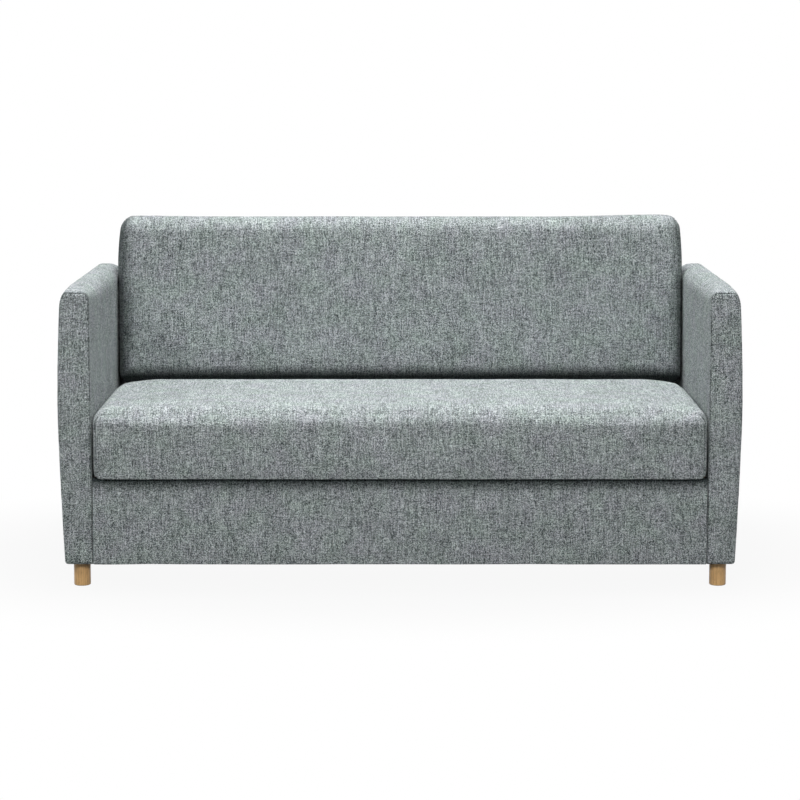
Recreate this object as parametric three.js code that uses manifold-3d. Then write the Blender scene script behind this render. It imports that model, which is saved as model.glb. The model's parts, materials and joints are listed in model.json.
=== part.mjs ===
// Two seat sofa with a bed that pulls out of it.
// The seat rolls forward on castors. The back is made of two hinged mattress sections,
// one facing forward and one facing the wall, which unfold flat behind the seat.
// Millimetres, +Z up, the front faces -Y. The origin is on the floor, under the middle.
import * as THREE from 'three';
import { mergeVertices } from 'three/addons/utils/BufferGeometryUtils.js';
import Module from 'manifold-3d';

const wasm = await Module();
wasm.setup();

// Driving dimensions: the upholstered outside
const MATTRESS_WIDTH = 1524;
const ARM_SIDE_GAP = 5;
const ARM_THICKNESS = 83;
const ARM_DEPTH = 985;
const ARM_TOP = 742;
const ARM_CROWN = 9;
const ARM_REAR_DROP = 30;
const ARM_LEVEL_DEPTH = 740;
const ARM_REAR_ROUND = 58;
const ARM_FOOT_DRAW = 17;
const ARM_HEAD_DRAW = 10;
const ARM_SHOULDER_WIDTH = 18;
const ARM_SHOULDER_DROP = 40;
const ARM_INNER_ROUND_FRONT = 16;
const ARM_INNER_ROUND = 38;
const ARM_INNER_ROUND_DEPTH = 120;
const ARM_EDGE_ROUND = 4;
const ARM_FOOT_ROUND = 8;
const ARM_WADDING = 13;
const ARM_CORE_THICKNESS = 32;
const ARM_CORE_HEAD = 95;
const SKIRT_HEIGHT = 60;

// Driving dimensions: seat and mattress sections
const SEAT_TOP = 454;
const SEAT_UNDERSIDE = 278;
const SEAT_REAR = 545;
const SEAT_OVERHANG = 20;
const SEAT_ROUND = 24;
const SEAT_FRONT_ROUND = 42;
const SEAT_CORNER_ROUND = 40;
const SECTION_LENGTH = 716;
const SECTION_FOAM = 97;
const SECTION_ROUND = 22;
const SECTION_HEEL_ROUND = 50;
const CUSHION_TOP_ROUND = 45;
const CUSHION_FOOT_ROUND = 52;
const CUSHION_CORNER_ROUND = 32;
const FOLD_LEAN = 15;
const FOLD_LEAN_REACH = 120;
const SECTION_SIDE_LIP = 13;
const SECTION_END_LIP = 14;
const PAD_SEAM_HEIGHT = 441;
const PAD_SEAM_GAP = 2;
const RECLINE_DEGREES = 6;
const SEAT_CROWN = 9;
const PAD_CROWN = 5;
const FACE_SWELL = 3;

// Driving dimensions: bed frame, hinges and carriage
const SLAT_THICKNESS = 8;
const SLAT_WIDTH = 60;
const SLATS_PER_SECTION = 5;
const TUBE = 25;
const TUBE_WALL = 2;
const PIVOT_DROP = 13.4;
const PIVOT_PIN_RADIUS = 6;
const PIVOT_LUG_THICKNESS = 6;
const PIVOT_LUG_RADIUS = 14;
const PLATE_THICKNESS = 3;
const HINGE_DROP = 8;
const HINGE_KNUCKLE_RADIUS = 7;
const HINGE_KNUCKLE_WIDTH = 25;
const HINGE_PIN_RADIUS = 3;
const HINGE_REACH = 34;
const HINGE_WEB = 4;
const HINGE_FROM_SIDE = 262;
const LEG_PIVOT_FROM_HINGE = 60;
const LEG_PIVOT_DROP = 14;
const LEG_TUBE = 20;
const LEG_PIN_RADIUS = 5;
const LEG_FLOOR_GAP = 0.5;
const LEG_LUG_RADIUS = 11;
const LEG_SIDE_GAP = 3;
const LEG_BAR_DROP = 150;
const SEAT_PLATE_HALF = 18;
const PANEL_THICKNESS = 30;
const PANEL_SIDE_GAP = 2.5;
const PANEL_TOP_GAP = 1.5;
const PANEL_ROUND = 5;
const DECK_THICKNESS = 12;
const CHASSIS_THICKNESS = 40;
const CHASSIS_UNDERSIDE = 86;
const CHASSIS_REAR_THICKNESS = 25;
const CHASSIS_CROSS_HEIGHT = 90;
const HEEL_CLEARANCE = 8;
const WHEEL_RADIUS = 25;
const WHEEL_WIDTH = 20;
const WHEEL_ROUND = 3;
const WHEEL_PIN_RADIUS = 4;
const WHEEL_SIDE_GAP = 1;
const CASTOR_PLATE = 3;
const CASTOR_LENGTH = 34;
const CASTOR_CHEEK_DROP = 10;
const CASTOR_FRONT = 305;
const CASTOR_REAR = 465;

// Driving dimensions: base between the arms, and the legs
const OAK_LEG_RADIUS = 21;
const OAK_LEG_ROUND = 3;
const OAK_LEG_SETBACK = 45;
const OAK_LEG_REAR_SETBACK = 60;
const OAK_LEG_SIDE = 33;
const BEAM_THICKNESS = 25;
const BEAM_HEIGHT = 60;
const BEAM_LIFT = 2;
const VALANCE_THICKNESS = 24;
const VALANCE_HEIGHT = 100;
const STRETCHER_FROM_SEAT = 15;
const BRACKET_WIDTH = 70;
const BRACKET_FOOT = 150;

// Clearances and the overrun that cuts share
const FIT = 0.3;
const SEAT_GAP = 6;
const SECTION_GAP = 1.5;
const FRAME_SIDE_FIT = 1;
const OVERRUN = 5;

// Shares and counts that shape the soft forms
const BELLY_HEIGHT_SHARE = 0.58;
const REAR_CORNER_SHARES = [0.5, 0.8, 0.92];
const BELLY_POWER = 1.5;
const CROWN_POWER = 4;
const ARC_STEPS = 3;
const BAR_SIDES = 16;
const ROUND_SIDES = 24;

// Places that follow from the sizes
const HALF_WIDTH = MATTRESS_WIDTH / 2;
const RAIL_OUTER_HALF = HALF_WIDTH - SECTION_SIDE_LIP - FRAME_SIDE_FIT;
const HINGE_SPREAD = HALF_WIDTH - HINGE_FROM_SIDE;
const ARM_INNER = HALF_WIDTH + ARM_SIDE_GAP;
const ARM_OUTER = ARM_INNER + ARM_THICKNESS;
const TILT = THREE.MathUtils.degToRad(90 - RECLINE_DEGREES);
const RECLINE = THREE.MathUtils.degToRad(RECLINE_DEGREES);
const SECTION = SECTION_FOAM + SLAT_THICKNESS + TUBE + 2 * FIT;
const PIVOT_DEPTH = SECTION + PIVOT_DROP;
const HEEL = PIVOT_DEPTH * Math.cos(RECLINE) / (1 - Math.sin(RECLINE));
const REACH = SECTION_LENGTH - HEEL;
const UNDERSIDE = PIVOT_DEPTH - SECTION;
const HINGE_Y = REACH + SECTION_GAP / 2;
const HINGE_Z = UNDERSIDE - HINGE_DROP;
const SEAT_PIVOT_Y = SEAT_REAR + SEAT_GAP + HEEL * Math.sin(RECLINE) + PIVOT_DEPTH * Math.cos(RECLINE);
const PIVOT_Z = SEAT_TOP - PIVOT_DEPTH;
const TOP_HINGE_Y = SEAT_PIVOT_Y + HINGE_Y * Math.sin(RECLINE) - HINGE_Z * Math.cos(RECLINE);
const BACK_PIVOT_Y = 2 * TOP_HINGE_Y - SEAT_PIVOT_Y;
const HEEL_CENTRE_REACH = Math.hypot(HEEL - SECTION_HEEL_ROUND, PIVOT_DEPTH - SECTION_HEEL_ROUND);
const HEEL_SWEEP = HEEL_CENTRE_REACH + SECTION_HEEL_ROUND;
const PAD_SEAM_Y = (PAD_SEAM_HEIGHT - PIVOT_Z - PIVOT_DEPTH * Math.sin(RECLINE)) / Math.cos(RECLINE);
const CHASSIS_OUTER = HALF_WIDTH + FRAME_SIDE_FIT;
const CHASSIS_INNER = CHASSIS_OUTER - CHASSIS_THICKNESS;
const CHASSIS_REAR = SEAT_PIVOT_Y - HEEL_SWEEP - HEEL_CLEARANCE;
const DECK_TOP = SEAT_UNDERSIDE - FIT;
const CHASSIS_TOP = DECK_TOP - DECK_THICKNESS - FIT;
const SEAT_PLATE_INNER = CHASSIS_OUTER + FIT;
const BRACKET_OUTER = ARM_INNER - FIT;
const BRACKET_INNER = BRACKET_OUTER - PLATE_THICKNESS;
const LUG_INNER = RAIL_OUTER_HALF - PIVOT_LUG_THICKNESS;

// Materials, one for each mesh so that each keeps its own
const looks = {
  fabric: { color: 0x83898b, roughness: 0.95, metalness: 0 },
  oak: { color: 0xc79a63, roughness: 0.5, metalness: 0 },
  pine: { color: 0xc9a877, roughness: 0.7, metalness: 0 },
  ply: { color: 0xb8935f, roughness: 0.65, metalness: 0 },
  birch: { color: 0xd4b98a, roughness: 0.55, metalness: 0 },
  darkSteel: { color: 0x34373a, roughness: 0.45, metalness: 0.6 },
  zinc: { color: 0xa9acae, roughness: 0.35, metalness: 0.9 },
  wheel: { color: 0x2a2a2b, roughness: 0.6, metalness: 0 },
};

function named(name, look, geometry) {
  const mesh = new THREE.Mesh(geometry, new THREE.MeshStandardMaterial(looks[look]));
  mesh.name = name;
  return mesh;
}

// A box from its two opposite corners
function box(low, high) {
  const size = high.map((value, i) => value - low[i]);
  const geometry = new THREE.BoxGeometry(...size);
  geometry.translate(...high.map((value, i) => (value + low[i]) / 2));
  return geometry;
}

// The same box on the right (side 1) or mirrored to the left (side -1)
function sideBox(side, inner, outer, front, rear, bottom, top) {
  const edges = [side * inner, side * outer].sort((a, b) => a - b);
  return box([edges[0], front, bottom], [edges[1], rear, top]);
}

// A round bar along X between two distances from the middle
function sideBar(side, inner, outer, y, z, radius) {
  const geometry = new THREE.CylinderGeometry(radius, radius, outer - inner, BAR_SIDES);
  geometry.rotateZ(Math.PI / 2);
  geometry.translate(side * (inner + outer) / 2, y, z);
  return geometry;
}

function toSolid(geometry) {
  const bare = geometry.clone();
  bare.deleteAttribute('normal');
  bare.deleteAttribute('uv');
  const merged = mergeVertices(bare);
  return new wasm.Manifold(new wasm.Mesh({
    numProp: 3,
    vertProperties: new Float32Array(merged.attributes.position.array),
    triVerts: new Uint32Array(merged.index.array),
  }));
}

function toGeometry(solid) {
  const mesh = solid.getMesh();
  const geometry = new THREE.BufferGeometry();
  geometry.setAttribute('position', new THREE.BufferAttribute(new Float32Array(mesh.vertProperties), 3));
  geometry.setIndex(new THREE.BufferAttribute(new Uint32Array(mesh.triVerts), 1));
  geometry.computeVertexNormals();
  return geometry;
}

// Joins solids, then takes the cuts away
function shape(joined, cuts = []) {
  const body = joined.map(toSolid).reduce((a, b) => a.add(b));
  return toGeometry(cuts.map(toSolid).reduce((a, b) => a.subtract(b), body));
}

// Positions of grid lines across a soft box: close together in its rounded edges
function gridLines(low, high, round, middleCount, edgeSteps) {
  const lines = [];
  for (let i = 0; i < edgeSteps; i++) {
    lines.push(low + round * (1 - Math.cos((i / edgeSteps) * (Math.PI / 2))));
  }
  for (let i = 0; i <= middleCount; i++) {
    lines.push(low + round + (high - low - 2 * round) * (i / middleCount));
  }
  for (let i = edgeSteps - 1; i >= 0; i--) {
    lines.push(high - round * (1 - Math.cos((i / edgeSteps) * (Math.PI / 2))));
  }
  return lines;
}

// Moves a point of a sharp box onto the box with rounded edges
function roundEdges(point, low, high, round) {
  const core = point.clone().clamp(low.clone().addScalar(round), high.clone().subScalar(round));
  const out = point.clone().sub(core);
  const reach = Math.max(Math.abs(out.x), Math.abs(out.y), Math.abs(out.z));
  return reach > 0 ? core.addScaledVector(out.normalize(), reach) : core;
}

// Rounds the corner between two faces more, to radius from the round that it has.
// Each face is its axis, its place and the way it faces.
function roundCorner(place, faces, radius, round) {
  const outs = faces.map(([axis, face, facing]) => (facing * (place[axis] - face)) / radius + 1);
  if (outs.every((out) => out > 0)) {
    const length = Math.hypot(...outs);
    const core = 1 - round / radius;
    const along = (core * (outs[0] + outs[1])) / length;
    const meetsRound = Math.min(...outs) > core * Math.max(...outs);
    const reach = meetsRound
      ? along + Math.sqrt(along ** 2 - 2 * core ** 2 + (round / radius) ** 2)
      : length / Math.max(...outs);
    faces.forEach(([axis, face, facing], i) => {
      place[axis] = face + facing * (outs[i] / reach - 1) * radius;
    });
  }
}

// A padded box: rounded edges, a crown on top and faces that swell between drawn-in corners.
// Its grid lines lie close together in a zone of the width lineRound along every edge.
function softBox({
  low, high, round, middles, crown = 0, swell = 0, edgeSteps = ARC_STEPS, lineRound = round, warp,
}) {
  const minimum = new THREE.Vector3(...low);
  const maximum = new THREE.Vector3(...high);
  const centre = minimum.clone().add(maximum).multiplyScalar(1 / 2);
  const half = maximum.clone().sub(minimum).multiplyScalar(1 / 2);
  const lines = low.map((value, i) => gridLines(value, high[i], lineRound, middles[i], edgeSteps));
  const vertices = [];
  const triangles = [];
  const places = new Map();
  const swellAcross = (share) => 1 - Math.abs(share) ** CROWN_POWER;

  function vertex(i, j, k) {
    const key = `${i},${j},${k}`;
    if (!places.has(key)) {
      const sharp = new THREE.Vector3(lines[0][i], lines[1][j], lines[2][k]);
      const share = sharp.clone().sub(centre).divide(half);
      const place = roundEdges(sharp, minimum, maximum, round);
      const across = swellAcross(share.x);
      const along = swellAcross(share.y);
      const upward = swellAcross(share.z);
      place.x += swell * share.x * along * upward;
      place.y += swell * share.y * across * upward;
      place.z += crown * Math.max(share.z, 0) * across * along;
      if (warp) {
        warp(place);
      }
      places.set(key, vertices.length / 3);
      vertices.push(place.x, place.y, place.z);
    }
    return places.get(key);
  }

  function quad(a, b, c, d) {
    triangles.push(a, b, c, a, c, d);
  }

  const [nx, ny, nz] = lines.map((line) => line.length - 1);
  for (let i = 0; i < nx; i++) {
    for (let j = 0; j < ny; j++) {
      quad(vertex(i, j, nz), vertex(i + 1, j, nz), vertex(i + 1, j + 1, nz), vertex(i, j + 1, nz));
      quad(vertex(i, j, 0), vertex(i, j + 1, 0), vertex(i + 1, j + 1, 0), vertex(i + 1, j, 0));
    }
    for (let k = 0; k < nz; k++) {
      quad(vertex(i, 0, k), vertex(i + 1, 0, k), vertex(i + 1, 0, k + 1), vertex(i, 0, k + 1));
      quad(vertex(i, ny, k), vertex(i, ny, k + 1), vertex(i + 1, ny, k + 1), vertex(i + 1, ny, k));
    }
  }
  for (let j = 0; j < ny; j++) {
    for (let k = 0; k < nz; k++) {
      quad(vertex(0, j, k), vertex(0, j, k + 1), vertex(0, j + 1, k + 1), vertex(0, j + 1, k));
      quad(vertex(nx, j, k), vertex(nx, j + 1, k), vertex(nx, j + 1, k + 1), vertex(nx, j, k + 1));
    }
  }
  const geometry = new THREE.BufferGeometry();
  geometry.setAttribute('position', new THREE.BufferAttribute(new Float32Array(vertices), 3));
  geometry.setIndex(triangles);
  geometry.computeVertexNormals();
  return geometry;
}

// Points on a quarter of an ellipse, from one axis to the other
function quarter(centreX, centreZ, radiusX, radiusZ, fromDegrees) {
  const points = [];
  for (let i = 0; i <= ARC_STEPS; i++) {
    const angle = THREE.MathUtils.degToRad(fromDegrees - 90 * (i / ARC_STEPS));
    points.push([centreX + radiusX * Math.cos(angle), centreZ + radiusZ * Math.sin(angle)]);
  }
  return points;
}

// Distance of an arm's outer face from the middle: widest at belly height, drawn in above and below
function armOuterAt(z) {
  const belly = SKIRT_HEIGHT + BELLY_HEIGHT_SHARE * (ARM_TOP - SKIRT_HEIGHT);
  const below = Math.max(0, (belly - z) / (belly - SKIRT_HEIGHT));
  const above = Math.max(0, (z - belly) / (ARM_TOP - belly));
  return ARM_OUTER - ARM_FOOT_DRAW * below ** BELLY_POWER - ARM_HEAD_DRAW * above ** BELLY_POWER;
}

// Outline of an arm across its length. It is drawn up the inner face and down the outer one,
// then reversed to run anticlockwise seen from the front.
function armSection(top, innerRound, inset) {
  const sideSteps = 7;
  const inner = ARM_INNER + inset;
  const foot = SKIRT_HEIGHT + inset;
  const head = top - inset;
  const points = [[inner, foot]];
  points.push(...quarter(inner + innerRound, head - innerRound, innerRound, innerRound, 180));
  const shoulder = head - ARM_SHOULDER_DROP;
  const shoulderOuter = armOuterAt(shoulder) - inset;
  const shoulderX = shoulderOuter - ARM_SHOULDER_WIDTH;
  points.push(...quarter(shoulderX, shoulder, ARM_SHOULDER_WIDTH, ARM_SHOULDER_DROP, 90));
  for (let i = 1; i < sideSteps; i++) {
    const z = shoulder + (foot + ARM_FOOT_ROUND - shoulder) * (i / sideSteps);
    points.push([armOuterAt(z) - inset, z]);
  }
  const cornerZ = foot + ARM_FOOT_ROUND;
  const cornerX = armOuterAt(cornerZ) - inset - ARM_FOOT_ROUND;
  points.push(...quarter(cornerX, cornerZ, ARM_FOOT_ROUND, ARM_FOOT_ROUND, 0));
  return points.reverse();
}

// Height of an arm's top: crowned behind the front seam, level, then falling gently to the rear
function armTopAt(y) {
  const rise = ARM_CROWN * Math.min(1, y / ARM_INNER_ROUND_DEPTH) ** (1 / 2);
  const fall = ARM_REAR_DROP * Math.max(0, (y - ARM_LEVEL_DEPTH) / (ARM_DEPTH - ARM_LEVEL_DEPTH));
  const pastRound = Math.max(0, y - (ARM_DEPTH - ARM_REAR_ROUND));
  const corner = ARM_REAR_ROUND - Math.sqrt(Math.max(0, ARM_REAR_ROUND ** 2 - pastRound ** 2));
  return ARM_TOP + rise - fall - corner;
}

function armInnerRoundAt(y) {
  const share = Math.min(1, y / ARM_INNER_ROUND_DEPTH);
  return ARM_INNER_ROUND_FRONT + (ARM_INNER_ROUND - ARM_INNER_ROUND_FRONT) * share;
}

// An arm: sections skinned from front to rear, closed at both ends
function armBody() {
  const rearEdge = ARM_DEPTH - ARM_EDGE_ROUND;
  const roundStart = ARM_DEPTH - ARM_REAR_ROUND;
  const depths = [0, ARM_EDGE_ROUND, ARM_INNER_ROUND_DEPTH / 3, ARM_INNER_ROUND_DEPTH, ARM_LEVEL_DEPTH];
  depths.push(roundStart);
  for (const share of REAR_CORNER_SHARES) {
    depths.push(roundStart + share * ARM_REAR_ROUND);
  }
  depths.push(rearEdge + ARM_EDGE_ROUND);
  const insets = depths.map((y, i) => (i === 0 || i === depths.length - 1 ? ARM_EDGE_ROUND : 0));
  const heights = depths.map((y) => armTopAt(Math.min(y, rearEdge)));
  const rings = depths.map((y, i) => armSection(heights[i], armInnerRoundAt(y), insets[i]));
  const count = rings[0].length;
  const vertices = rings.flatMap((ring, i) => ring.flatMap(([x, z]) => [x, depths[i], z]));
  const triangles = [];
  for (let i = 0; i < rings.length - 1; i++) {
    for (let j = 0; j < count; j++) {
      const a = i * count + j;
      const b = i * count + (j + 1) % count;
      triangles.push(a, a + count, b + count, a, b + count, b);
    }
  }
  const last = (rings.length - 1) * count;
  const caps = [[0, 0], [last, rings.length - 1]];
  for (const [start, ringIndex] of caps) {
    const contour = rings[ringIndex].map(([x, z]) => new THREE.Vector2(x, z));
    for (const [a, b, c] of THREE.ShapeUtils.triangulateShape(contour, [])) {
      const turned = start === 0 ? [a, b, c] : [a, c, b];
      triangles.push(...turned.map((corner) => start + corner));
    }
  }
  const geometry = new THREE.BufferGeometry();
  geometry.setAttribute('position', new THREE.BufferAttribute(new Float32Array(vertices), 3));
  geometry.setIndex(triangles);
  return geometry;
}

// Mirrors a right-hand geometry to the left and keeps its faces pointing out
function mirrored(geometry, side) {
  if (side > 0) {
    return geometry;
  }
  const copy = geometry.clone().scale(-1, 1, 1);
  const flipped = copy.index.array.slice();
  for (let i = 0; i < flipped.length; i += 3) {
    [flipped[i], flipped[i + 1]] = [flipped[i + 1], flipped[i]];
  }
  copy.setIndex(new THREE.BufferAttribute(flipped, 1));
  copy.computeVertexNormals();
  return copy;
}

const sides = [['left', -1], ['right', 1]];
const sofa = new THREE.Group();

// Arms: an upholstered cover over a timber core, with the core's pocket open underneath
const coreInner = ARM_INNER + ARM_WADDING;
const coreOuter = coreInner + ARM_CORE_THICKNESS;
const coreFront = ARM_WADDING * 2;
const coreRear = ARM_DEPTH - ARM_WADDING * 2;
const coreTop = ARM_TOP - ARM_CORE_HEAD;
const pocket = box(
  [coreInner - FIT, coreFront - FIT, SKIRT_HEIGHT - OVERRUN],
  [coreOuter + FIT, coreRear + FIT, coreTop + FIT],
);
const armCover = shape([armBody()], [pocket]);
for (const [word, side] of sides) {
  sofa.add(named(`${word}_arm_cover`, 'fabric', mirrored(armCover, side)));
  const core = sideBox(side, coreInner, coreOuter, coreFront, coreRear, SKIRT_HEIGHT, coreTop);
  sofa.add(named(`${word}_arm_core`, 'pine', core));
}

// Turned oak legs under the arms
function oakLeg() {
  const profile = [[0, 0], [OAK_LEG_RADIUS - OAK_LEG_ROUND, 0]];
  const height = SKIRT_HEIGHT - FIT;
  for (let i = 1; i <= ARC_STEPS; i++) {
    const angle = (i / ARC_STEPS) * (Math.PI / 2);
    const out = OAK_LEG_RADIUS - OAK_LEG_ROUND + OAK_LEG_ROUND * Math.sin(angle);
    profile.push([out, OAK_LEG_ROUND * (1 - Math.cos(angle))]);
  }
  profile.push([OAK_LEG_RADIUS, height], [0, height]);
  const geometry = new THREE.LatheGeometry(profile.map(([r, z]) => new THREE.Vector2(r, z)), ROUND_SIDES);
  geometry.rotateX(Math.PI / 2);
  return geometry;
}

const legDepths = [['front', OAK_LEG_SETBACK], ['rear', ARM_DEPTH - OAK_LEG_REAR_SETBACK]];
for (const [word, side] of sides) {
  for (const [end, y] of legDepths) {
    const leg = named(`${end}_${word}_leg`, 'oak', oakLeg());
    leg.position.set(side * (ARM_INNER + OAK_LEG_SIDE), y, 0);
    sofa.add(leg);
  }
}

// Base between the arms: a beam and a soft valance at the rear, and a stretcher behind the seat
const spanHalf = ARM_INNER - FIT;
const beamBottom = SKIRT_HEIGHT + BEAM_LIFT;
const valanceFront = ARM_DEPTH - ARM_EDGE_ROUND - VALANCE_THICKNESS;
const beamRear = valanceFront - FIT;
const stretcherFront = SEAT_REAR + STRETCHER_FROM_SEAT;
sofa.add(named('rear_beam', 'pine', box(
  [-spanHalf, beamRear - BEAM_THICKNESS, beamBottom],
  [spanHalf, beamRear, beamBottom + BEAM_HEIGHT],
)));
sofa.add(named('stretcher', 'pine', box(
  [-spanHalf, stretcherFront, beamBottom],
  [spanHalf, stretcherFront + BEAM_THICKNESS, beamBottom + BEAM_HEIGHT],
)));
sofa.add(named('rear_valance', 'fabric', softBox({
  low: [-spanHalf, valanceFront, SKIRT_HEIGHT],
  high: [spanHalf, valanceFront + VALANCE_THICKNESS, SKIRT_HEIGHT + VALANCE_HEIGHT],
  round: PANEL_ROUND,
  middles: [1, 1, 1],
  edgeSteps: 2,
})));

// Steel brackets on the arms that carry the rear mattress section on pins
for (const [word, side] of sides) {
  const plate = sideBox(side, BRACKET_INNER, BRACKET_OUTER, BACK_PIVOT_Y - BRACKET_WIDTH / 2,
    BACK_PIVOT_Y + BRACKET_WIDTH / 2, BRACKET_FOOT, PIVOT_Z + BRACKET_WIDTH / 2);
  const pin = sideBar(side, LUG_INNER - FRAME_SIDE_FIT, BRACKET_OUTER - FIT,
    BACK_PIVOT_Y, PIVOT_Z, PIVOT_PIN_RADIUS);
  sofa.add(named(`${word}_back_bracket`, 'zinc', shape([plate, pin])));
}

// One mattress section's steel frame and slats, lying flat with its far end towards +Y (end 1)
// or -Y (end -1) and its pivot axis at the origin
function sectionFrame(group, prefix, end, hingeInner, withLegLug) {
  const place = (y0, y1) => [end * y0, end * y1].sort((a, b) => a - b);
  const farEnd = REACH - SECTION_END_LIP - FRAME_SIDE_FIT;
  const nearEnd = -HEEL + SECTION_HEEL_ROUND;
  const railTop = UNDERSIDE + TUBE;
  const railInner = RAIL_OUTER_HALF - TUBE;
  const tubeHollow = TUBE - 2 * TUBE_WALL;
  for (const [word, side] of sides) {
    const [y0, y1] = place(nearEnd, farEnd);
    const tube = sideBox(side, railInner, RAIL_OUTER_HALF, y0, y1, UNDERSIDE, railTop);
    const hollow = sideBox(side, railInner + TUBE_WALL, railInner + TUBE_WALL + tubeHollow,
      y0 - OVERRUN, y1 + OVERRUN, UNDERSIDE + TUBE_WALL, railTop - TUBE_WALL);
    const weldTop = UNDERSIDE + TUBE_WALL / 2;
    const lugs = [
      sideBox(side, LUG_INNER, RAIL_OUTER_HALF, -PIVOT_LUG_RADIUS, PIVOT_LUG_RADIUS, 0, weldTop),
      sideBar(side, LUG_INNER, RAIL_OUTER_HALF, 0, 0, PIVOT_LUG_RADIUS - FIT),
    ];
    const boreRadius = PIVOT_PIN_RADIUS + FIT;
    const bores = [sideBar(side, LUG_INNER - OVERRUN, RAIL_OUTER_HALF + OVERRUN, 0, 0, boreRadius)];
    if (withLegLug) {
      const legY = end * (HINGE_Y - LEG_PIVOT_FROM_HINGE);
      const legZ = UNDERSIDE - LEG_PIVOT_DROP;
      const lugOuter = railInner + PIVOT_LUG_THICKNESS;
      const [lug0, lug1] = [legY - LEG_LUG_RADIUS, legY + LEG_LUG_RADIUS];
      lugs.push(sideBox(side, railInner, lugOuter, lug0, lug1, legZ, weldTop));
      lugs.push(sideBar(side, railInner, lugOuter, legY, legZ, LEG_LUG_RADIUS - FIT));
      bores.push(sideBar(side, railInner - OVERRUN, lugOuter + OVERRUN, legY, legZ, LEG_PIN_RADIUS + FIT));
    }
    const rail = shape([shape([tube], [hollow]), ...lugs], bores);
    group.add(named(`${prefix}_${word}_rail`, 'darkSteel', rail));
  }

  // Cross tubes: the far one carries welded hinge knuckles on both sides
  const crossHalf = railInner - FIT;
  const crossTube = (y0, y1) => shape(
    [box([-crossHalf, y0, UNDERSIDE], [crossHalf, y1, railTop])],
    [box([-crossHalf - OVERRUN, y0 + TUBE_WALL, UNDERSIDE + TUBE_WALL],
      [crossHalf + OVERRUN, y1 - TUBE_WALL, railTop - TUBE_WALL])],
  );
  const [far0, far1] = place(farEnd - TUBE, farEnd);
  const knuckleY = end * HINGE_Y;
  const [web0, web1] = place(HINGE_Y - HINGE_REACH, HINGE_Y);
  const knuckleOuter = hingeInner + HINGE_KNUCKLE_WIDTH - FIT;
  const webs = sides.flatMap(([, side]) => [
    sideBox(side, hingeInner, knuckleOuter, web0, web1, HINGE_Z - HINGE_WEB / 2, UNDERSIDE - FIT),
    sideBox(side, hingeInner, knuckleOuter, ...place(HINGE_Y - HINGE_REACH, farEnd - FRAME_SIDE_FIT),
      HINGE_Z, UNDERSIDE + TUBE_WALL / 2),
    sideBar(side, hingeInner, knuckleOuter, knuckleY, HINGE_Z, HINGE_KNUCKLE_RADIUS),
  ]);
  const pinHoles = sides.map(([, side]) => sideBar(side, hingeInner - OVERRUN, knuckleOuter + OVERRUN,
    knuckleY, HINGE_Z, HINGE_PIN_RADIUS + FIT));
  const hingeRail = shape([crossTube(far0, far1), ...webs], pinHoles);
  group.add(named(`${prefix}_hinge_rail`, 'darkSteel', hingeRail));
  const [near0, near1] = place(nearEnd, nearEnd + TUBE);
  group.add(named(`${prefix}_heel_rail`, 'darkSteel', crossTube(near0, near1)));
  const [mid0, mid1] = place(nearEnd + TUBE + FIT, farEnd - TUBE - FIT);
  const centre = shape(
    [box([-TUBE / 2, mid0, UNDERSIDE], [TUBE / 2, mid1, railTop])],
    [box([-tubeHollow / 2, mid0 - OVERRUN, UNDERSIDE + TUBE_WALL],
      [tubeHollow / 2, mid1 + OVERRUN, railTop - TUBE_WALL])],
  );
  group.add(named(`${prefix}_centre_rail`, 'darkSteel', centre));

  const slatTravel = farEnd - nearEnd - SLAT_WIDTH;
  for (let i = 0; i < SLATS_PER_SECTION; i++) {
    const start = nearEnd + slatTravel * (i / (SLATS_PER_SECTION - 1));
    const [y0, y1] = place(start, start + SLAT_WIDTH);
    group.add(named(`${prefix}_slat_${i + 1}`, 'birch', box(
      [-RAIL_OUTER_HALF, y0, railTop + FIT],
      [RAIL_OUTER_HALF, y1, railTop + FIT + SLAT_THICKNESS],
    )));
  }
}

// Slants the end of a section at the fold, so that the front section's top rises over the rear's.
// The slanted ends pass through the hinge line, so that they meet when the bed is flat.
function leanAtFold(place, end) {
  const share = Math.max(0, end * place.y - REACH + FOLD_LEAN_REACH) / FOLD_LEAN_REACH;
  place.y += FOLD_LEAN * Math.min(1, share) * ((place.z - UNDERSIDE) / SECTION);
}

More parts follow.
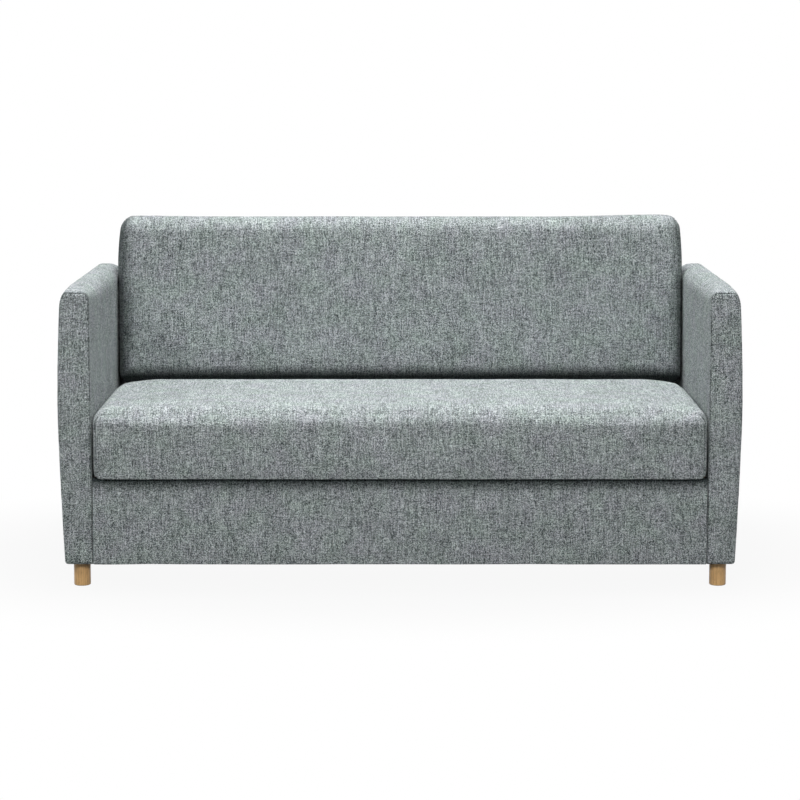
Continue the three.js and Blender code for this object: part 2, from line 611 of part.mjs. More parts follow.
// A mattress pad over the frame, with lips round the frame's sides and ends.
// The heel's sleeping edge has a large round, so that it clears the seat as it turns.
// The cushion's top and foot are rounder still, because they show above the seat.
function sectionPad(end, from, to, isCushion, middles, edgeSteps = ARC_STEPS) {
  const [y0, y1] = [end * from, end * to].sort((a, b) => a - b);
  const sleepingFace = ['z', PIVOT_DEPTH, 1];
  const padHalf = HALF_WIDTH - (isCushion ? FACE_SWELL / 3 : FACE_SWELL);
  const pad = softBox({
    low: [-padHalf, y0, UNDERSIDE],
    high: [padHalf, y1, PIVOT_DEPTH - PAD_CROWN / 2],
    round: SECTION_ROUND,
    crown: PAD_CROWN,
    swell: isCushion ? FACE_SWELL / 3 : 0,
    middles,
    edgeSteps,
    lineRound: isCushion ? CUSHION_TOP_ROUND : SECTION_ROUND,
    warp: (place) => {
      if (isCushion) {
        roundCorner(place, [['y', y1, 1], sleepingFace], CUSHION_TOP_ROUND, SECTION_ROUND);
        roundCorner(place, [['y', y0, -1], sleepingFace], CUSHION_FOOT_ROUND, SECTION_ROUND);
        const side = Math.sign(place.x);
        const sideFace = ['x', side * padHalf, side];
        roundCorner(place, [sideFace, ['y', y1, 1]], CUSHION_CORNER_ROUND, SECTION_ROUND);
      } else {
        roundCorner(place, [['y', -end * HEEL, -end], sleepingFace], SECTION_HEEL_ROUND, SECTION_ROUND);
      }
      leanAtFold(place, end);
    },
  });
  const pocketHalf = RAIL_OUTER_HALF + FRAME_SIDE_FIT;
  const [p0, p1] = [end * (-HEEL + SECTION_HEEL_ROUND - FRAME_SIDE_FIT), end * (REACH - SECTION_END_LIP)]
    .sort((a, b) => a - b);
  const framePocket = box(
    [-pocketHalf, p0, UNDERSIDE - OVERRUN],
    [pocketHalf, p1, PIVOT_DEPTH - SECTION_FOAM],
  );
  return shape([pad], [framePocket]);
}

// Rear section, facing the wall, on the brackets' pins
const rearSection = new THREE.Group();
rearSection.position.set(0, BACK_PIVOT_Y, PIVOT_Z);
rearSection.rotation.x = -TILT;
sectionFrame(rearSection, 'rear_section', -1, HINGE_SPREAD + HINGE_KNUCKLE_WIDTH, true);
rearSection.add(named('rear_mattress', 'fabric', sectionPad(-1, -HEEL, REACH, false, [8, 6, 2])));
sofa.add(rearSection);

// Front section, facing the sitter: the visible back cushion above a pad that hides behind the seat
const frontSection = new THREE.Group();
frontSection.position.set(0, SEAT_PIVOT_Y, PIVOT_Z);
frontSection.rotation.x = TILT;
sectionFrame(frontSection, 'front_section', 1, HINGE_SPREAD, false);
const cushionPad = sectionPad(1, PAD_SEAM_Y + PAD_SEAM_GAP / 2, REACH, true, [8, 3, 1], 4);
frontSection.add(named('back_cushion', 'fabric', cushionPad));
const lowerPad = sectionPad(1, -HEEL, PAD_SEAM_Y - PAD_SEAM_GAP / 2, false, [2, 2, 2], 2);
frontSection.add(named('lower_back_pad', 'fabric', lowerPad));
for (const [word, side] of sides) {
  const pin = sideBar(side, HINGE_SPREAD - FIT, HINGE_SPREAD + 2 * HINGE_KNUCKLE_WIDTH,
    HINGE_Y, HINGE_Z, HINGE_PIN_RADIUS);
  frontSection.add(named(`${word}_hinge_pin`, 'zinc', pin));
}
sofa.add(frontSection);

// Support leg, hanging from the rear section: two tubes with a bar between them
const legLocal = new THREE.Vector3(0, LEG_PIVOT_FROM_HINGE - HINGE_Y, UNDERSIDE - LEG_PIVOT_DROP);
const legPivot = legLocal.applyAxisAngle(new THREE.Vector3(1, 0, 0), -TILT).add(rearSection.position);
const supportLeg = new THREE.Group();
supportLeg.position.copy(legPivot);
const legOuter = RAIL_OUTER_HALF - TUBE - LEG_SIDE_GAP;
const legInner = legOuter - LEG_TUBE;
const legLength = SEAT_TOP - SECTION - LEG_PIVOT_DROP - LEG_FLOOR_GAP;

function squareTube(x, low, high) {
  const half = LEG_TUBE / 2;
  const hollow = half - TUBE_WALL;
  return shape(
    [box([x - half, -half, low], [x + half, half, high])],
    [box([x - hollow, -hollow, low - OVERRUN], [x + hollow, hollow, high + OVERRUN])],
  );
}

for (const [word, side] of sides) {
  const tube = squareTube(side * (legInner + legOuter) / 2, -legLength, LEG_TUBE / 2);
  const pin = sideBar(side, legOuter - LEG_TUBE / 2, legOuter + LEG_SIDE_GAP + PIVOT_LUG_THICKNESS,
    0, 0, LEG_PIN_RADIUS);
  supportLeg.add(named(`${word}_support_leg`, 'darkSteel', shape([tube, pin])));
}
const legBar = squareTube(0, FIT - legInner, legInner - FIT);
legBar.rotateY(Math.PI / 2);
legBar.translate(0, 0, -LEG_BAR_DROP - LEG_TUBE / 2);
supportLeg.add(named('support_leg_bar', 'darkSteel', legBar));
sofa.add(supportLeg);

// Seat cushion: its rear is hollowed so that the front section's heel can turn past it
function seatRearAt(z) {
  const rise = z - PIVOT_Z;
  const sweep = HEEL_SWEEP + HEEL_CLEARANCE;
  return Math.min(SEAT_REAR, SEAT_PIVOT_Y - Math.sqrt(Math.max(0, sweep ** 2 - rise ** 2)));
}

const hollowFront = SEAT_REAR - 3 * SECTION_HEEL_ROUND;
const seatHalf = HALF_WIDTH - FACE_SWELL / 3;
sofa.add(named('seat_cushion', 'fabric', softBox({
  low: [-seatHalf, -SEAT_OVERHANG + FACE_SWELL, SEAT_UNDERSIDE],
  high: [seatHalf, SEAT_REAR - FACE_SWELL, SEAT_TOP - PAD_CROWN / 2],
  round: SEAT_ROUND,
  crown: SEAT_CROWN,
  swell: FACE_SWELL,
  middles: [6, 5, 2],
  edgeSteps: 4,
  lineRound: SEAT_FRONT_ROUND,
  warp: (place) => {
    const side = Math.sign(place.x);
    const sideFace = ['x', side * seatHalf, side];
    roundCorner(place, [['y', -SEAT_OVERHANG, -1], ['z', SEAT_TOP, 1]], SEAT_FRONT_ROUND, SEAT_ROUND);
    roundCorner(place, [sideFace, ['y', SEAT_REAR, 1]], SEAT_CORNER_ROUND, SEAT_ROUND);
    const share = Math.max(0, place.y - hollowFront) / (SEAT_REAR - hollowFront);
    place.y -= share * (SEAT_REAR - seatRearAt(place.z));
  },
})));

// Carriage under the seat cushion
const panelHalf = ARM_INNER - PANEL_SIDE_GAP;
sofa.add(named('front_panel', 'fabric', softBox({
  low: [-panelHalf, 0, SKIRT_HEIGHT],
  high: [panelHalf, PANEL_THICKNESS, SEAT_UNDERSIDE - PANEL_TOP_GAP],
  round: PANEL_ROUND,
  middles: [1, 1, 1],
  edgeSteps: 2,
})));
const chassisFront = PANEL_THICKNESS + FIT;
sofa.add(named('seat_deck', 'ply', box(
  [-CHASSIS_OUTER, chassisFront, DECK_TOP - DECK_THICKNESS],
  [CHASSIS_OUTER, CHASSIS_REAR, DECK_TOP],
)));
const crossSpan = CHASSIS_INNER - FIT;
const crossEnds = [['front', chassisFront], ['rear', CHASSIS_REAR - CHASSIS_REAR_THICKNESS]];
for (const [end, y] of crossEnds) {
  sofa.add(named(`carriage_${end}_rail`, 'pine', box(
    [-crossSpan, y, CHASSIS_TOP - CHASSIS_CROSS_HEIGHT],
    [crossSpan, y + CHASSIS_REAR_THICKNESS, CHASSIS_TOP],
  )));
}

// Side plates that carry the front section on pins beside the cushions
function seatPlate(side) {
  const footFront = CHASSIS_REAR - 2 * BRACKET_WIDTH;
  const footRear = CHASSIS_REAR - BRACKET_WIDTH / 2;
  const outline = new THREE.Shape();
  outline.moveTo(footFront, CHASSIS_TOP - CHASSIS_CROSS_HEIGHT);
  outline.lineTo(footRear, CHASSIS_TOP - CHASSIS_CROSS_HEIGHT);
  outline.lineTo(CHASSIS_REAR, PIVOT_Z - SEAT_PLATE_HALF);
  outline.lineTo(SEAT_PIVOT_Y, PIVOT_Z - SEAT_PLATE_HALF);
  outline.absarc(SEAT_PIVOT_Y, PIVOT_Z, SEAT_PLATE_HALF, -Math.PI / 2, Math.PI / 2, false);
  outline.lineTo(footRear, PIVOT_Z + SEAT_PLATE_HALF);
  outline.lineTo(footFront, CHASSIS_TOP);
  outline.closePath();
  const plate = new THREE.ExtrudeGeometry(outline, {
    depth: PLATE_THICKNESS,
    bevelEnabled: false,
    curveSegments: BAR_SIDES / 2,
  });
  plate.rotateX(Math.PI / 2);
  plate.rotateZ(Math.PI / 2);
  plate.translate(SEAT_PLATE_INNER, 0, 0);
  const pin = sideBar(1, LUG_INNER - FRAME_SIDE_FIT, SEAT_PLATE_INNER + PLATE_THICKNESS / 2,
    SEAT_PIVOT_Y, PIVOT_Z, PIVOT_PIN_RADIUS);
  return mirrored(shape([plate, pin]), side);
}

// Castors: a forked bracket with a fixed pin, and a wheel that turns on it
function castorBracket(x, y) {
  const top = CHASSIS_UNDERSIDE - FIT;
  const cheekInner = WHEEL_WIDTH / 2 + WHEEL_SIDE_GAP;
  const cheekOuter = cheekInner + CASTOR_PLATE;
  const front = y - CASTOR_LENGTH / 2;
  const rear = y + CASTOR_LENGTH / 2;
  const cheekBottom = WHEEL_RADIUS - CASTOR_CHEEK_DROP;
  const plate = box([x - cheekOuter, front, top - CASTOR_PLATE], [x + cheekOuter, rear, top]);
  const cheeks = [-1, 1].map((s) => {
    const edges = [x + s * cheekInner, x + s * cheekOuter].sort((a, b) => a - b);
    return box([edges[0], y - CASTOR_CHEEK_DROP, cheekBottom], [edges[1], y + CASTOR_CHEEK_DROP, top]);
  });
  const pin = sideBar(1, x - cheekOuter, x + cheekOuter, y, WHEEL_RADIUS, WHEEL_PIN_RADIUS);
  return shape([plate, ...cheeks, pin]);
}

function castorWheel() {
  const half = WHEEL_WIDTH / 2;
  const profile = [[0, -half], [WHEEL_RADIUS - WHEEL_ROUND, -half], [WHEEL_RADIUS, -half + WHEEL_ROUND],
    [WHEEL_RADIUS, half - WHEEL_ROUND], [WHEEL_RADIUS - WHEEL_ROUND, half], [0, half]];
  const disc = new THREE.LatheGeometry(profile.map(([r, z]) => new THREE.Vector2(r, z)), ROUND_SIDES);
  disc.rotateZ(-Math.PI / 2);
  return shape([disc], [sideBar(1, -half - OVERRUN, half + OVERRUN, 0, 0, WHEEL_PIN_RADIUS + FIT)]);
}

for (const [word, side] of sides) {
  sofa.add(named(`${word}_carriage_side`, 'pine', sideBox(side, CHASSIS_INNER, CHASSIS_OUTER,
    chassisFront, CHASSIS_REAR, CHASSIS_UNDERSIDE, CHASSIS_TOP)));
  sofa.add(named(`${word}_seat_plate`, 'zinc', seatPlate(side)));
  const x = side * (CHASSIS_INNER + CHASSIS_OUTER) / 2;
  for (const [end, y] of [['front', CASTOR_FRONT], ['rear', CASTOR_REAR]]) {
    sofa.add(named(`${end}_${word}_castor_bracket`, 'zinc', castorBracket(x, y)));
    const wheel = named(`${end}_${word}_castor_wheel`, 'wheel', castorWheel());
    wheel.position.set(x, y, WHEEL_RADIUS);
    sofa.add(wheel);
  }
}

// The origin goes on the floor, under the middle of the whole sofa
const bounds = new THREE.Box3().setFromObject(sofa);
sofa.position.y = -(bounds.min.y + bounds.max.y) / 2;
sofa.updateMatrixWorld(true);

export default sofa;
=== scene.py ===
import json
import math

import bpy
import numpy as np
from mathutils import Matrix, Vector


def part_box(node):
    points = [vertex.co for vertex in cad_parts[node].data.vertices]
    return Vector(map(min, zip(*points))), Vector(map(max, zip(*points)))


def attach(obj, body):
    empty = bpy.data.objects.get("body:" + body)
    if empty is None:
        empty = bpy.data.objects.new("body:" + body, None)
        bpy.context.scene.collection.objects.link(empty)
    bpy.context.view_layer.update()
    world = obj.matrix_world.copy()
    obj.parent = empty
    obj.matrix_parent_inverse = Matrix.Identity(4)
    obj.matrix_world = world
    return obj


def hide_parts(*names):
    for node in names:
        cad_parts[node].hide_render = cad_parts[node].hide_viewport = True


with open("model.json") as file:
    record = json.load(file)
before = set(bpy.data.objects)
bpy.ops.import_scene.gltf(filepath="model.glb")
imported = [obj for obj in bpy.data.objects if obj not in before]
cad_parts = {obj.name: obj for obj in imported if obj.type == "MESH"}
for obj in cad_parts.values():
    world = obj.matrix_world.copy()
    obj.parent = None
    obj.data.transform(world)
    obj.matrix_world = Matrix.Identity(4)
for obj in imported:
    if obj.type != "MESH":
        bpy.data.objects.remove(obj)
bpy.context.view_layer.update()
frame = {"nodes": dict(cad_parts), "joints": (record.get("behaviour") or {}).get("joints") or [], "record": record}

# Camera, fitted to the photograph: a long lens, slightly raised
CAMERA_LENS = 0.1143
SENSOR = 0.036
CAMERA_DISTANCE = 6.2337
CAMERA_HEIGHT = 1.3413
CAMERA_PITCH = math.radians(7.909)

# Fine grid of the soft pieces: spacing of its lines on faces, in rounds and at the edge of a pocket
CELL = 0.008
COARSE_CELL = 0.017
PANEL_CELL = 0.012
LINE_SPACING = 0.0004
ROUND_LINES = 5
ZONE_STEP = 0.004
POCKET_STEP = 0.0006

# Cloth: how long it settles, the most that it moves, and how often its movement is evened out
CLOTH_STEPS = 20
CLOTH_CAP = 0.0016
CLOTH_EVENING = 5
CLOTH_SETTINGS = {
    "quality": 6,
    "mass": 0.3,
    "tension_stiffness": 18,
    "compression_stiffness": 18,
    "shear_stiffness": 6,
    "bending_stiffness": 0.6,
    "use_pressure": True,
    "uniform_pressure_force": 4,
    "vertex_group_mass": "held",
    "shrink_min": -0.006,
}

# Slow waves in the cloth, by height and length, and how fast they rise from an arm's foot
WAVE_COUNT = 7
PAD_WAVES = ((0.0008, 0.22), (0.0004, 0.07))
ARM_WAVES = ((0.0006, 0.20), (0.0005, 0.06))
ARM_WAVE_SEED = 11
ARM_WAVE_RISE = 4

# Seams: a sunk line with a raised lip on each side. The lip is painted paler, partly as wear and partly
# as a painted highlight
SEAM_MARKS = (0.0, 0.0012, 0.0026, 0.0042, 0.0060)
SEAM_DEPTH = 0.0019
SEAM_WIDTH = 0.0011
SEAM_LIP = 0.0011
SEAM_LIP_PLACE = 0.0036
SEAM_LIP_WIDTH = 0.0018
SEAM_PALE_LIP = 0.55

# Painted shade where pieces meet or overhang: the seat's rear face, the back cushion's foot and sides
# (the left one deeper, as the left arm's shadow), the lower back pad's top and the front panel's top under
# the seat. Rows are axis and facing of the end, share of full shade, and its reach
FULL_PAINTED_SHADE = 1.15
CREVICE_REACH = 0.018
PANEL_SHADE_REACH = 0.033
PAINTED_SHADE_ENDS = {
    "seat_cushion": ((1, 1, 1.0, 0.014),),
    "back_cushion": ((1, -1, 1.08, 0.050), (0, -1, 0.62, 0.045), (0, 1, 0.35, 0.024)),
    "lower_back_pad": ((1, 1, 1.0, CREVICE_REACH),),
    "front_panel": ((2, 1, 1.0, PANEL_SHADE_REACH),),
}

# Arms
ARM_CROWN = 0.009
ARM_REAR_DROP = 0.030
ARM_LEVEL_DEPTH = 0.740
ARM_REAR_ROUND = 0.058
ARM_FOOT_DRAW = 0.0125
ARM_HEAD_DRAW = 0.010
ARM_SHOULDER_WIDTH = 0.019
ARM_SHOULDER_DROP = 0.047
ARM_INNER_ROUND_FRONT = 0.016
ARM_INNER_ROUND = 0.038
ARM_INNER_ROUND_DEPTH = 0.120
ARM_FOOT_ROUND = 0.008
ARM_INNER_FOOT_ROUND = 0.002
ARM_FRONT_SWELL = 0.0015
BELLY_HEIGHT_SHARE = 0.58
BELLY_POWER = 1.5
REAR_EDGE_ROUND = 0.010

# Points on the parts of an arm's outline, and where its outer face and its bottom start and end
FACE_POINTS = 70
TOP_ROUND_POINTS = 10
TOP_POINTS = 6
SHOULDER_POINTS = 12
FOOT_POINTS = 6
BOTTOM_POINTS = 8
INNER_FOOT_POINTS = 4
OUTER_START = FACE_POINTS + TOP_ROUND_POINTS + TOP_POINTS + SHOULDER_POINTS
OUTER_END = OUTER_START + FACE_POINTS
BOTTOM_START = OUTER_END + FOOT_POINTS
BOTTOM_END = BOTTOM_START + BOTTOM_POINTS

# The outline's points where the painted look of the seam changes, and its looks there: shade painted
# into the fold up the inner face and over the top, and a pale edge down the outer face and along the
# bottom, partly wear and partly a painted highlight
ARM_SEAM_STOPS = (0, 84, OUTER_START, OUTER_END, BOTTOM_END)
ARM_SEAM_LOOKS = (1.0, 1.0, -0.25, -0.25, 0.3)

# Front edge of the wrap and rim of the panel: depth behind the front, how far it draws in, and share of
# the seam's painted look
WRAP_EDGE = ((0.0030, 0.0026, 1.0), (0.0022, 0.0014, 0.2), (0.0027, 0.0007, 0.2), (0.0042, 0.0002, 0.0),
             (0.0065, 0.0, 0.0))
PANEL_RIM = ((0.0017, 0.0033, 0.15), (0.0007, 0.0044, 0.0), (0.0002, 0.0062, 0.0))
PANEL_INWARD = (0.0095, 0.014, 0.020, 0.028, 0.036)

# Depths of the wrap's first rings, how many run to its rear round, and the steps round an edge
WRAP_STARTS = (0.010, 0.015)
WRAP_RUN_START = 0.022
WRAP_RINGS = 84
ROUND_SHARES = np.array([0.2, 0.4, 0.6, 0.8, 1.0])
ARM_GIRTH_DEPTH = 0.3
ARM_CLOSING_STEP = 0.004
DUST_CLOTH_FRONT = 7
DUST_CLOTH_REAR = 5

# Where on the weave each piece's cloth is cut: a shift per seed, for a side band, and on the left arm
CLOTH_SHIFT = 1.37
BAND_SHIFTS = (3, 5)
LEFT_ARM_SHIFT = (2.3, 0.7)

# Cushions and mattress sections
SEAT_EDGE_ROUND = 0.006
SEAT_FOOT_ROUND = 0.015
SEAT_END_ROUND = 0.019
SEAT_REAR_ROUND = 0.024
SEAT_SIDE_ROUND = 0.030
SEAT_FRONT_ROUND = 0.042
SEAT_CORNER_ROUND = 0.040
SEAT_CROWN = 0.009
SEAT_SIDE_LIMIT = 0.97
SEAT_REAR_ROLL = 0.0070
SEAT_ROLL_HEIGHT = 0.08
SEAT_ROLL_REACH = 0.16
SEAT_CORNER_SINK = 0.012
SEAT_CORNER_REACH = 0.11
SEAT_HOLLOW_REACH = 0.150
FACE_SWELL = 0.003
SECTION_SWELL = FACE_SWELL / 3
SECTION_ROUND = 0.022
SECTION_CROWN = 0.005
HEEL_ROUND = 0.050
HEEL_CLEARANCE = 0.008
HEEL_POINTS_HEIGHT = 0.12
CUSHION_TOP_ROUND = 0.045
CUSHION_FOOT_ROUND = 0.052
CUSHION_CORNER_ROUND = 0.032
CUSHION_LEFT_ROUND = 0.042
CUSHION_RIGHT_ROUND = 0.034
FOLD_LEAN = 0.015
FOLD_LEAN_REACH = 0.120
SECTION_GAP = 0.0015
REAR_END_EASE = 0.0125
POCKET_FIT = 0.0003
POCKET_ROOM = 0.001
PANEL_ROUND = 0.002
PANEL_SPREAD = 0.0019
CROWN_POWER = 4

# The back cushion's fuller sides, narrower head and lifted top. Spans are a start and a run, as shares
# of its height.
CUSHION_SIDE_BULGE = 0.0028
CUSHION_BULGE_SPAN = (0.60, 0.36)
CUSHION_HEAD_DRAW = 0.006
CUSHION_DRAW_SPAN = (0.72, 0.28)
CUSHION_DRAW_POWER = 1.5
CUSHION_TOP_WAVE = 0.0045
CUSHION_WAVE_SPAN = (0.8, 0.2)
CUSHION_LIFT = 0.70
CUSHION_RIGHT_LIFT = 0.75
CUSHION_RIGHT_PLACE = 0.85
CUSHION_RIGHT_WIDTH = 0.16

# Legs
LEG_ROUND = 0.003
LEG_SIDES = 64
LEG_RINGS = (0.3, 0.6, 0.97)
LEG_TOP_DRAW = 0.0008

# Floor and surroundings
FLOOR_SHADE = 0.14
FLOOR_WHITE = 0.93
FLOOR_SIZE = 40.0
FLOOR_STRETCH = (1.0, 1.5, 1.0)
FLOOR_FADE = (0.9, 1.7)
WORLD_LIGHT = 0.03
WORLD_TINT = (0.97, 0.99, 1.0, 1.0)
WHITE = (1.0, 1.0, 1.0, 1.0)

# Lamps: place, size and watts. All are aimed at one point of the seat.
LAMP_AIM = Vector((0.0, 0.0, 0.4))
LAMPS = (
    ("overhead_softbox", (0.0, 0.6, 8.0), (3.0, 2.0), 890.0),
    ("left_softbox", (-3.4, -2.4, 3.6), (1.2, 1.2), 80.0),
    ("right_softbox", (3.4, -2.4, 3.6), (1.2, 1.2), 50.0),
    ("front_softbox", (0.0, -3.0, 1.6), (2.4, 0.8), 48.0),
)

# Fabric: width of a yarn, how far it wanders, how long it keeps a tone, and its tones and tints
YARN = 0.0015
YARN_WANDER = 0.0005
WARP_RUN = 0.024
WEFT_RUN = 0.016
RUN_STAGGER = 9.0
WEFT_SPOT_SHARE = 0.30
WARP_SPOT_SHARE = 0.44
FIBRE_SHARE = 0.12
YARN_TONES = (
    (0.16, (0.019, 0.024, 0.024)),
    (0.40, (0.148, 0.168, 0.168)),
    (0.60, (0.355, 0.390, 0.389)),
    (0.84, (0.722, 0.768, 0.765)),
)
SHADE_DRIFT = ((0.3, (0.92, 0.92, 0.92)), (0.7, (1.08, 1.08, 1.08)))
HUE_DRIFT = ((0.32, (0.955, 1.008, 0.968)), (0.68, (1.022, 0.992, 1.045)))
# Tint of a seam's pale lip, partly wear and partly a painted highlight
PALE_LIP_TINT = (1.30, 1.30, 1.30, 1.0)
# Tint and share of the shade painted into seam folds and slots between pieces
PAINTED_SHADE_TINT = (0.10, 0.12, 0.12, 1.0)
PAINTED_SHADE_SHARE = 0.92

# How far the heart of the wood's growth rings lies beside a piece
WOOD_HEART = 0.31

# Frames of the two mattress sections. Their pivot is the origin, Y runs along them and Z points to the
# sleeping side.
JOINTS = {joint["name"]: Vector(joint["pos_m"]) for joint in frame["joints"]}
TILT = math.radians(84)
REAR_TURN = Matrix.Translation(JOINTS["bed_open"]) @ Matrix.Rotation(-TILT, 4, "X")
FRONT_TURN = Matrix.Translation(JOINTS["seat_pivot"]) @ Matrix.Rotation(TILT, 4, "X")
SECTION_REACH = (FRONT_TURN.inverted() @ JOINTS["back_fold"]).y - SECTION_GAP / 2

# Each section's turn, and the way along Y from its pivot to the fold
SECTIONS = {"front_section": (FRONT_TURN, 1), "rear_section": (REAR_TURN, -1)}


# Building materials out of nodes

class Graph:
    """A material's node tree, with short calls to add and link nodes."""

    def __init__(self, name):
        self.material = bpy.data.materials.new(name)
        self.material.use_nodes = True
        self.tree = self.material.node_tree
        self.tree.nodes.clear()
        self.output = self.tree.nodes.new("ShaderNodeOutputMaterial")

    def add(self, kind, inputs=None, **settings):
        node = self.tree.nodes.new(kind)
        for key, value in settings.items():
            setattr(node, key, value)
        for key, value in (inputs or {}).items():
            self.feed(node.inputs[key], value)
        return node

    def feed(self, socket, value):
        if isinstance(value, bpy.types.NodeSocket):
            self.tree.links.new(value, socket)
        else:
            socket.default_value = value

    def math(self, operation, *values):
        return self.add("ShaderNodeMath", dict(enumerate(values)), operation=operation).outputs[0]

    def mix(self, share, a, b):
        return self.math("ADD", self.math("MULTIPLY", a, self.math("SUBTRACT", 1.0, share)),
                         self.math("MULTIPLY", b, share))

    def vector(self, x, y, z=0.0):
        return self.add("ShaderNodeCombineXYZ", {"X": x, "Y": y, "Z": z}).outputs[0]

    def scaled(self, vector, factors):
        return self.add("ShaderNodeVectorMath", {0: vector, 1: factors}, operation="MULTIPLY").outputs[0]

    def noise(self, vector, scale, detail=2.0, roughness=0.5):
        return self.add("ShaderNodeTexNoise", {
            "Vector": vector, "Scale": scale, "Detail": detail, "Roughness": roughness,
        }).outputs["Fac"]

    def white(self, vector):
        return self.add("ShaderNodeTexWhiteNoise", {"Vector": vector}).outputs["Value"]

    def ramp(self, share, stops):
        node = self.add("ShaderNodeValToRGB", {"Fac": share})
        elements = node.color_ramp.elements
        while len(elements) < len(stops):
            elements.new(1.0)
        for element, (place, colour) in zip(elements, stops):
            element.position = place
            element.color = (*colour, 1.0)
        return node.outputs["Color"]

    def tint(self, colour, other, share=1.0, blend="MULTIPLY"):
        inputs = {"Factor": share, "A": colour, "B": other}
        return self.add("ShaderNodeMix", inputs, data_type="RGBA", blend_type=blend).outputs["Result"]

    def bump(self, height, distance, strength=1.0, normal=None):
        inputs = {"Height": height, "Distance": distance, "Strength": strength}
        if normal is not None:
            inputs["Normal"] = normal
        return self.add("ShaderNodeBump", inputs).outputs["Normal"]

    def surface(self, **inputs):
        shader = self.add("ShaderNodeBsdfPrincipled")
        for key, value in inputs.items():
            self.feed(shader.inputs[key.replace("_", " ")], value)
        self.tree.links.new(shader.outputs[0], self.output.inputs["Surface"])
        return self.material


def heathered_fabric():
    """Plain weave of two-tone yarns: each yarn changes tone every few millimetres. Shade is painted into
    seam folds and into slots between pieces, and seam lips are paler, partly as wear and partly as a
    painted highlight.
    """
    g = Graph("heathered_weave")
    uv = g.add("ShaderNodeUVMap", uv_map="weave").outputs[0]
    wander = g.add("ShaderNodeTexNoise", {"Vector": uv, "Scale": 130.0, "Detail": 3.0})
    parts = g.add("ShaderNodeSeparateColor", {"Color": wander.outputs["Color"]}).outputs
    place = g.add("ShaderNodeSeparateXYZ", {"Vector": uv}).outputs
    u, v = (g.math("MULTIPLY_ADD", g.math("SUBTRACT", parts[k], 0.5), 2 * YARN_WANDER, place[k])
            for k in range(2))
    across, up = g.math("DIVIDE", u, YARN), g.math("DIVIDE", v, YARN)
    warp, weft = g.math("FLOOR", across), g.math("FLOOR", up)

    # Tone of each stretch of yarn: long slubs along the warp, shorter ones along the weft
    warp_start = g.white(g.vector(warp, 0.0, 3.1))
    warp_run = g.math("MULTIPLY_ADD", warp_start, RUN_STAGGER, g.math("DIVIDE", v, WARP_RUN))
    warp_tone = g.white(g.vector(warp, g.math("FLOOR", warp_run), 7.7))
    weft_start = g.white(g.vector(0.0, weft, 5.3))
    weft_run = g.math("MULTIPLY_ADD", weft_start, RUN_STAGGER, g.math("DIVIDE", u, WEFT_RUN))
    weft_tone = g.white(g.vector(g.math("FLOOR", weft_run), weft, 1.9))
    over = g.math("MODULO", g.math("ABSOLUTE", g.math("ADD", warp, weft)), 2.0)
    spot_tone = g.white(g.vector(warp, weft, 4.4))
    spot_share = g.mix(over, WEFT_SPOT_SHARE, WARP_SPOT_SHARE)
    tone = g.mix(spot_share, spot_tone, g.mix(over, weft_tone, warp_tone))
    fibre = g.noise(g.scaled(uv, (1.0, 0.5, 1.0)), 900.0, 2.0, 0.6)
    colour = g.ramp(g.mix(FIBRE_SHARE, tone, fibre), YARN_TONES)

    # Slow drift of shade and hue over the cloth. Then shade painted into seam folds and slots between pieces,
    # and a pale lip beside each seam, partly wear and partly a painted highlight
    shade = g.noise(uv, 9.0, 3.0, 0.6)
    colour = g.tint(colour, g.ramp(shade, SHADE_DRIFT))
    hue = g.noise(g.vector(g.math("ADD", place[0], 7.0), place[1]), 15.0, 2.0, 0.5)
    colour = g.tint(colour, g.ramp(hue, HUE_DRIFT))
    seam = g.add("ShaderNodeAttribute", attribute_name="seam").outputs["Fac"]
    pale_lip = g.math("MULTIPLY", g.math("MINIMUM", seam, 0.0), -1.0)
    colour = g.tint(colour, PALE_LIP_TINT, pale_lip)
    fold = g.math("MAXIMUM", seam, 0.0)
    colour = g.tint(colour, PAINTED_SHADE_TINT, g.math("MULTIPLY", fold, PAINTED_SHADE_SHARE))

    # Yarns that rise and dip
    roll, rise = (g.math("SINE", g.math("MULTIPLY", g.math("FRACT", place), math.pi))
                  for place in (across, up))
    height = g.math("MULTIPLY_ADD", fibre, 0.5, g.mix(over, rise, roll))
    weave = g.bump(height, 0.0006, 0.7)
    pucker = g.math("MULTIPLY", g.noise(uv, 70.0, 1.0), fold)
    normal = g.bump(pucker, 0.003, 0.6, weave)
    return g.surface(
        Base_Color=colour, Roughness=0.95, Specular_IOR_Level=0.0, Normal=normal,
        Sheen_Weight=0.10, Sheen_Roughness=0.5, Sheen_Tint=(0.96, 1.0, 1.0, 1.0),
    )


def mottled(name, patches, tones, roughness, bump, grain=None, stretch=(1.0, 1.0, 1.0), metallic=0.0):
    """A plain material in patches of two tones, with a fine grain that shows in relief. patches and grain
    are a noise's scale, detail and roughness, and roughness is how far it varies and its least value."""
    g = Graph(name)
    place = g.add("ShaderNodeTexCoord").outputs["Object"]
    patch = g.noise(place, *patches)
    relief = g.noise(g.scaled(place, stretch), *grain) if grain else patch
    uneven = g.math("MULTIPLY_ADD", relief if metallic else patch, *roughness)
    return g.surface(Base_Color=g.ramp(patch, tones), Metallic=metallic, Roughness=uneven,
                     Normal=g.bump(relief, *bump))


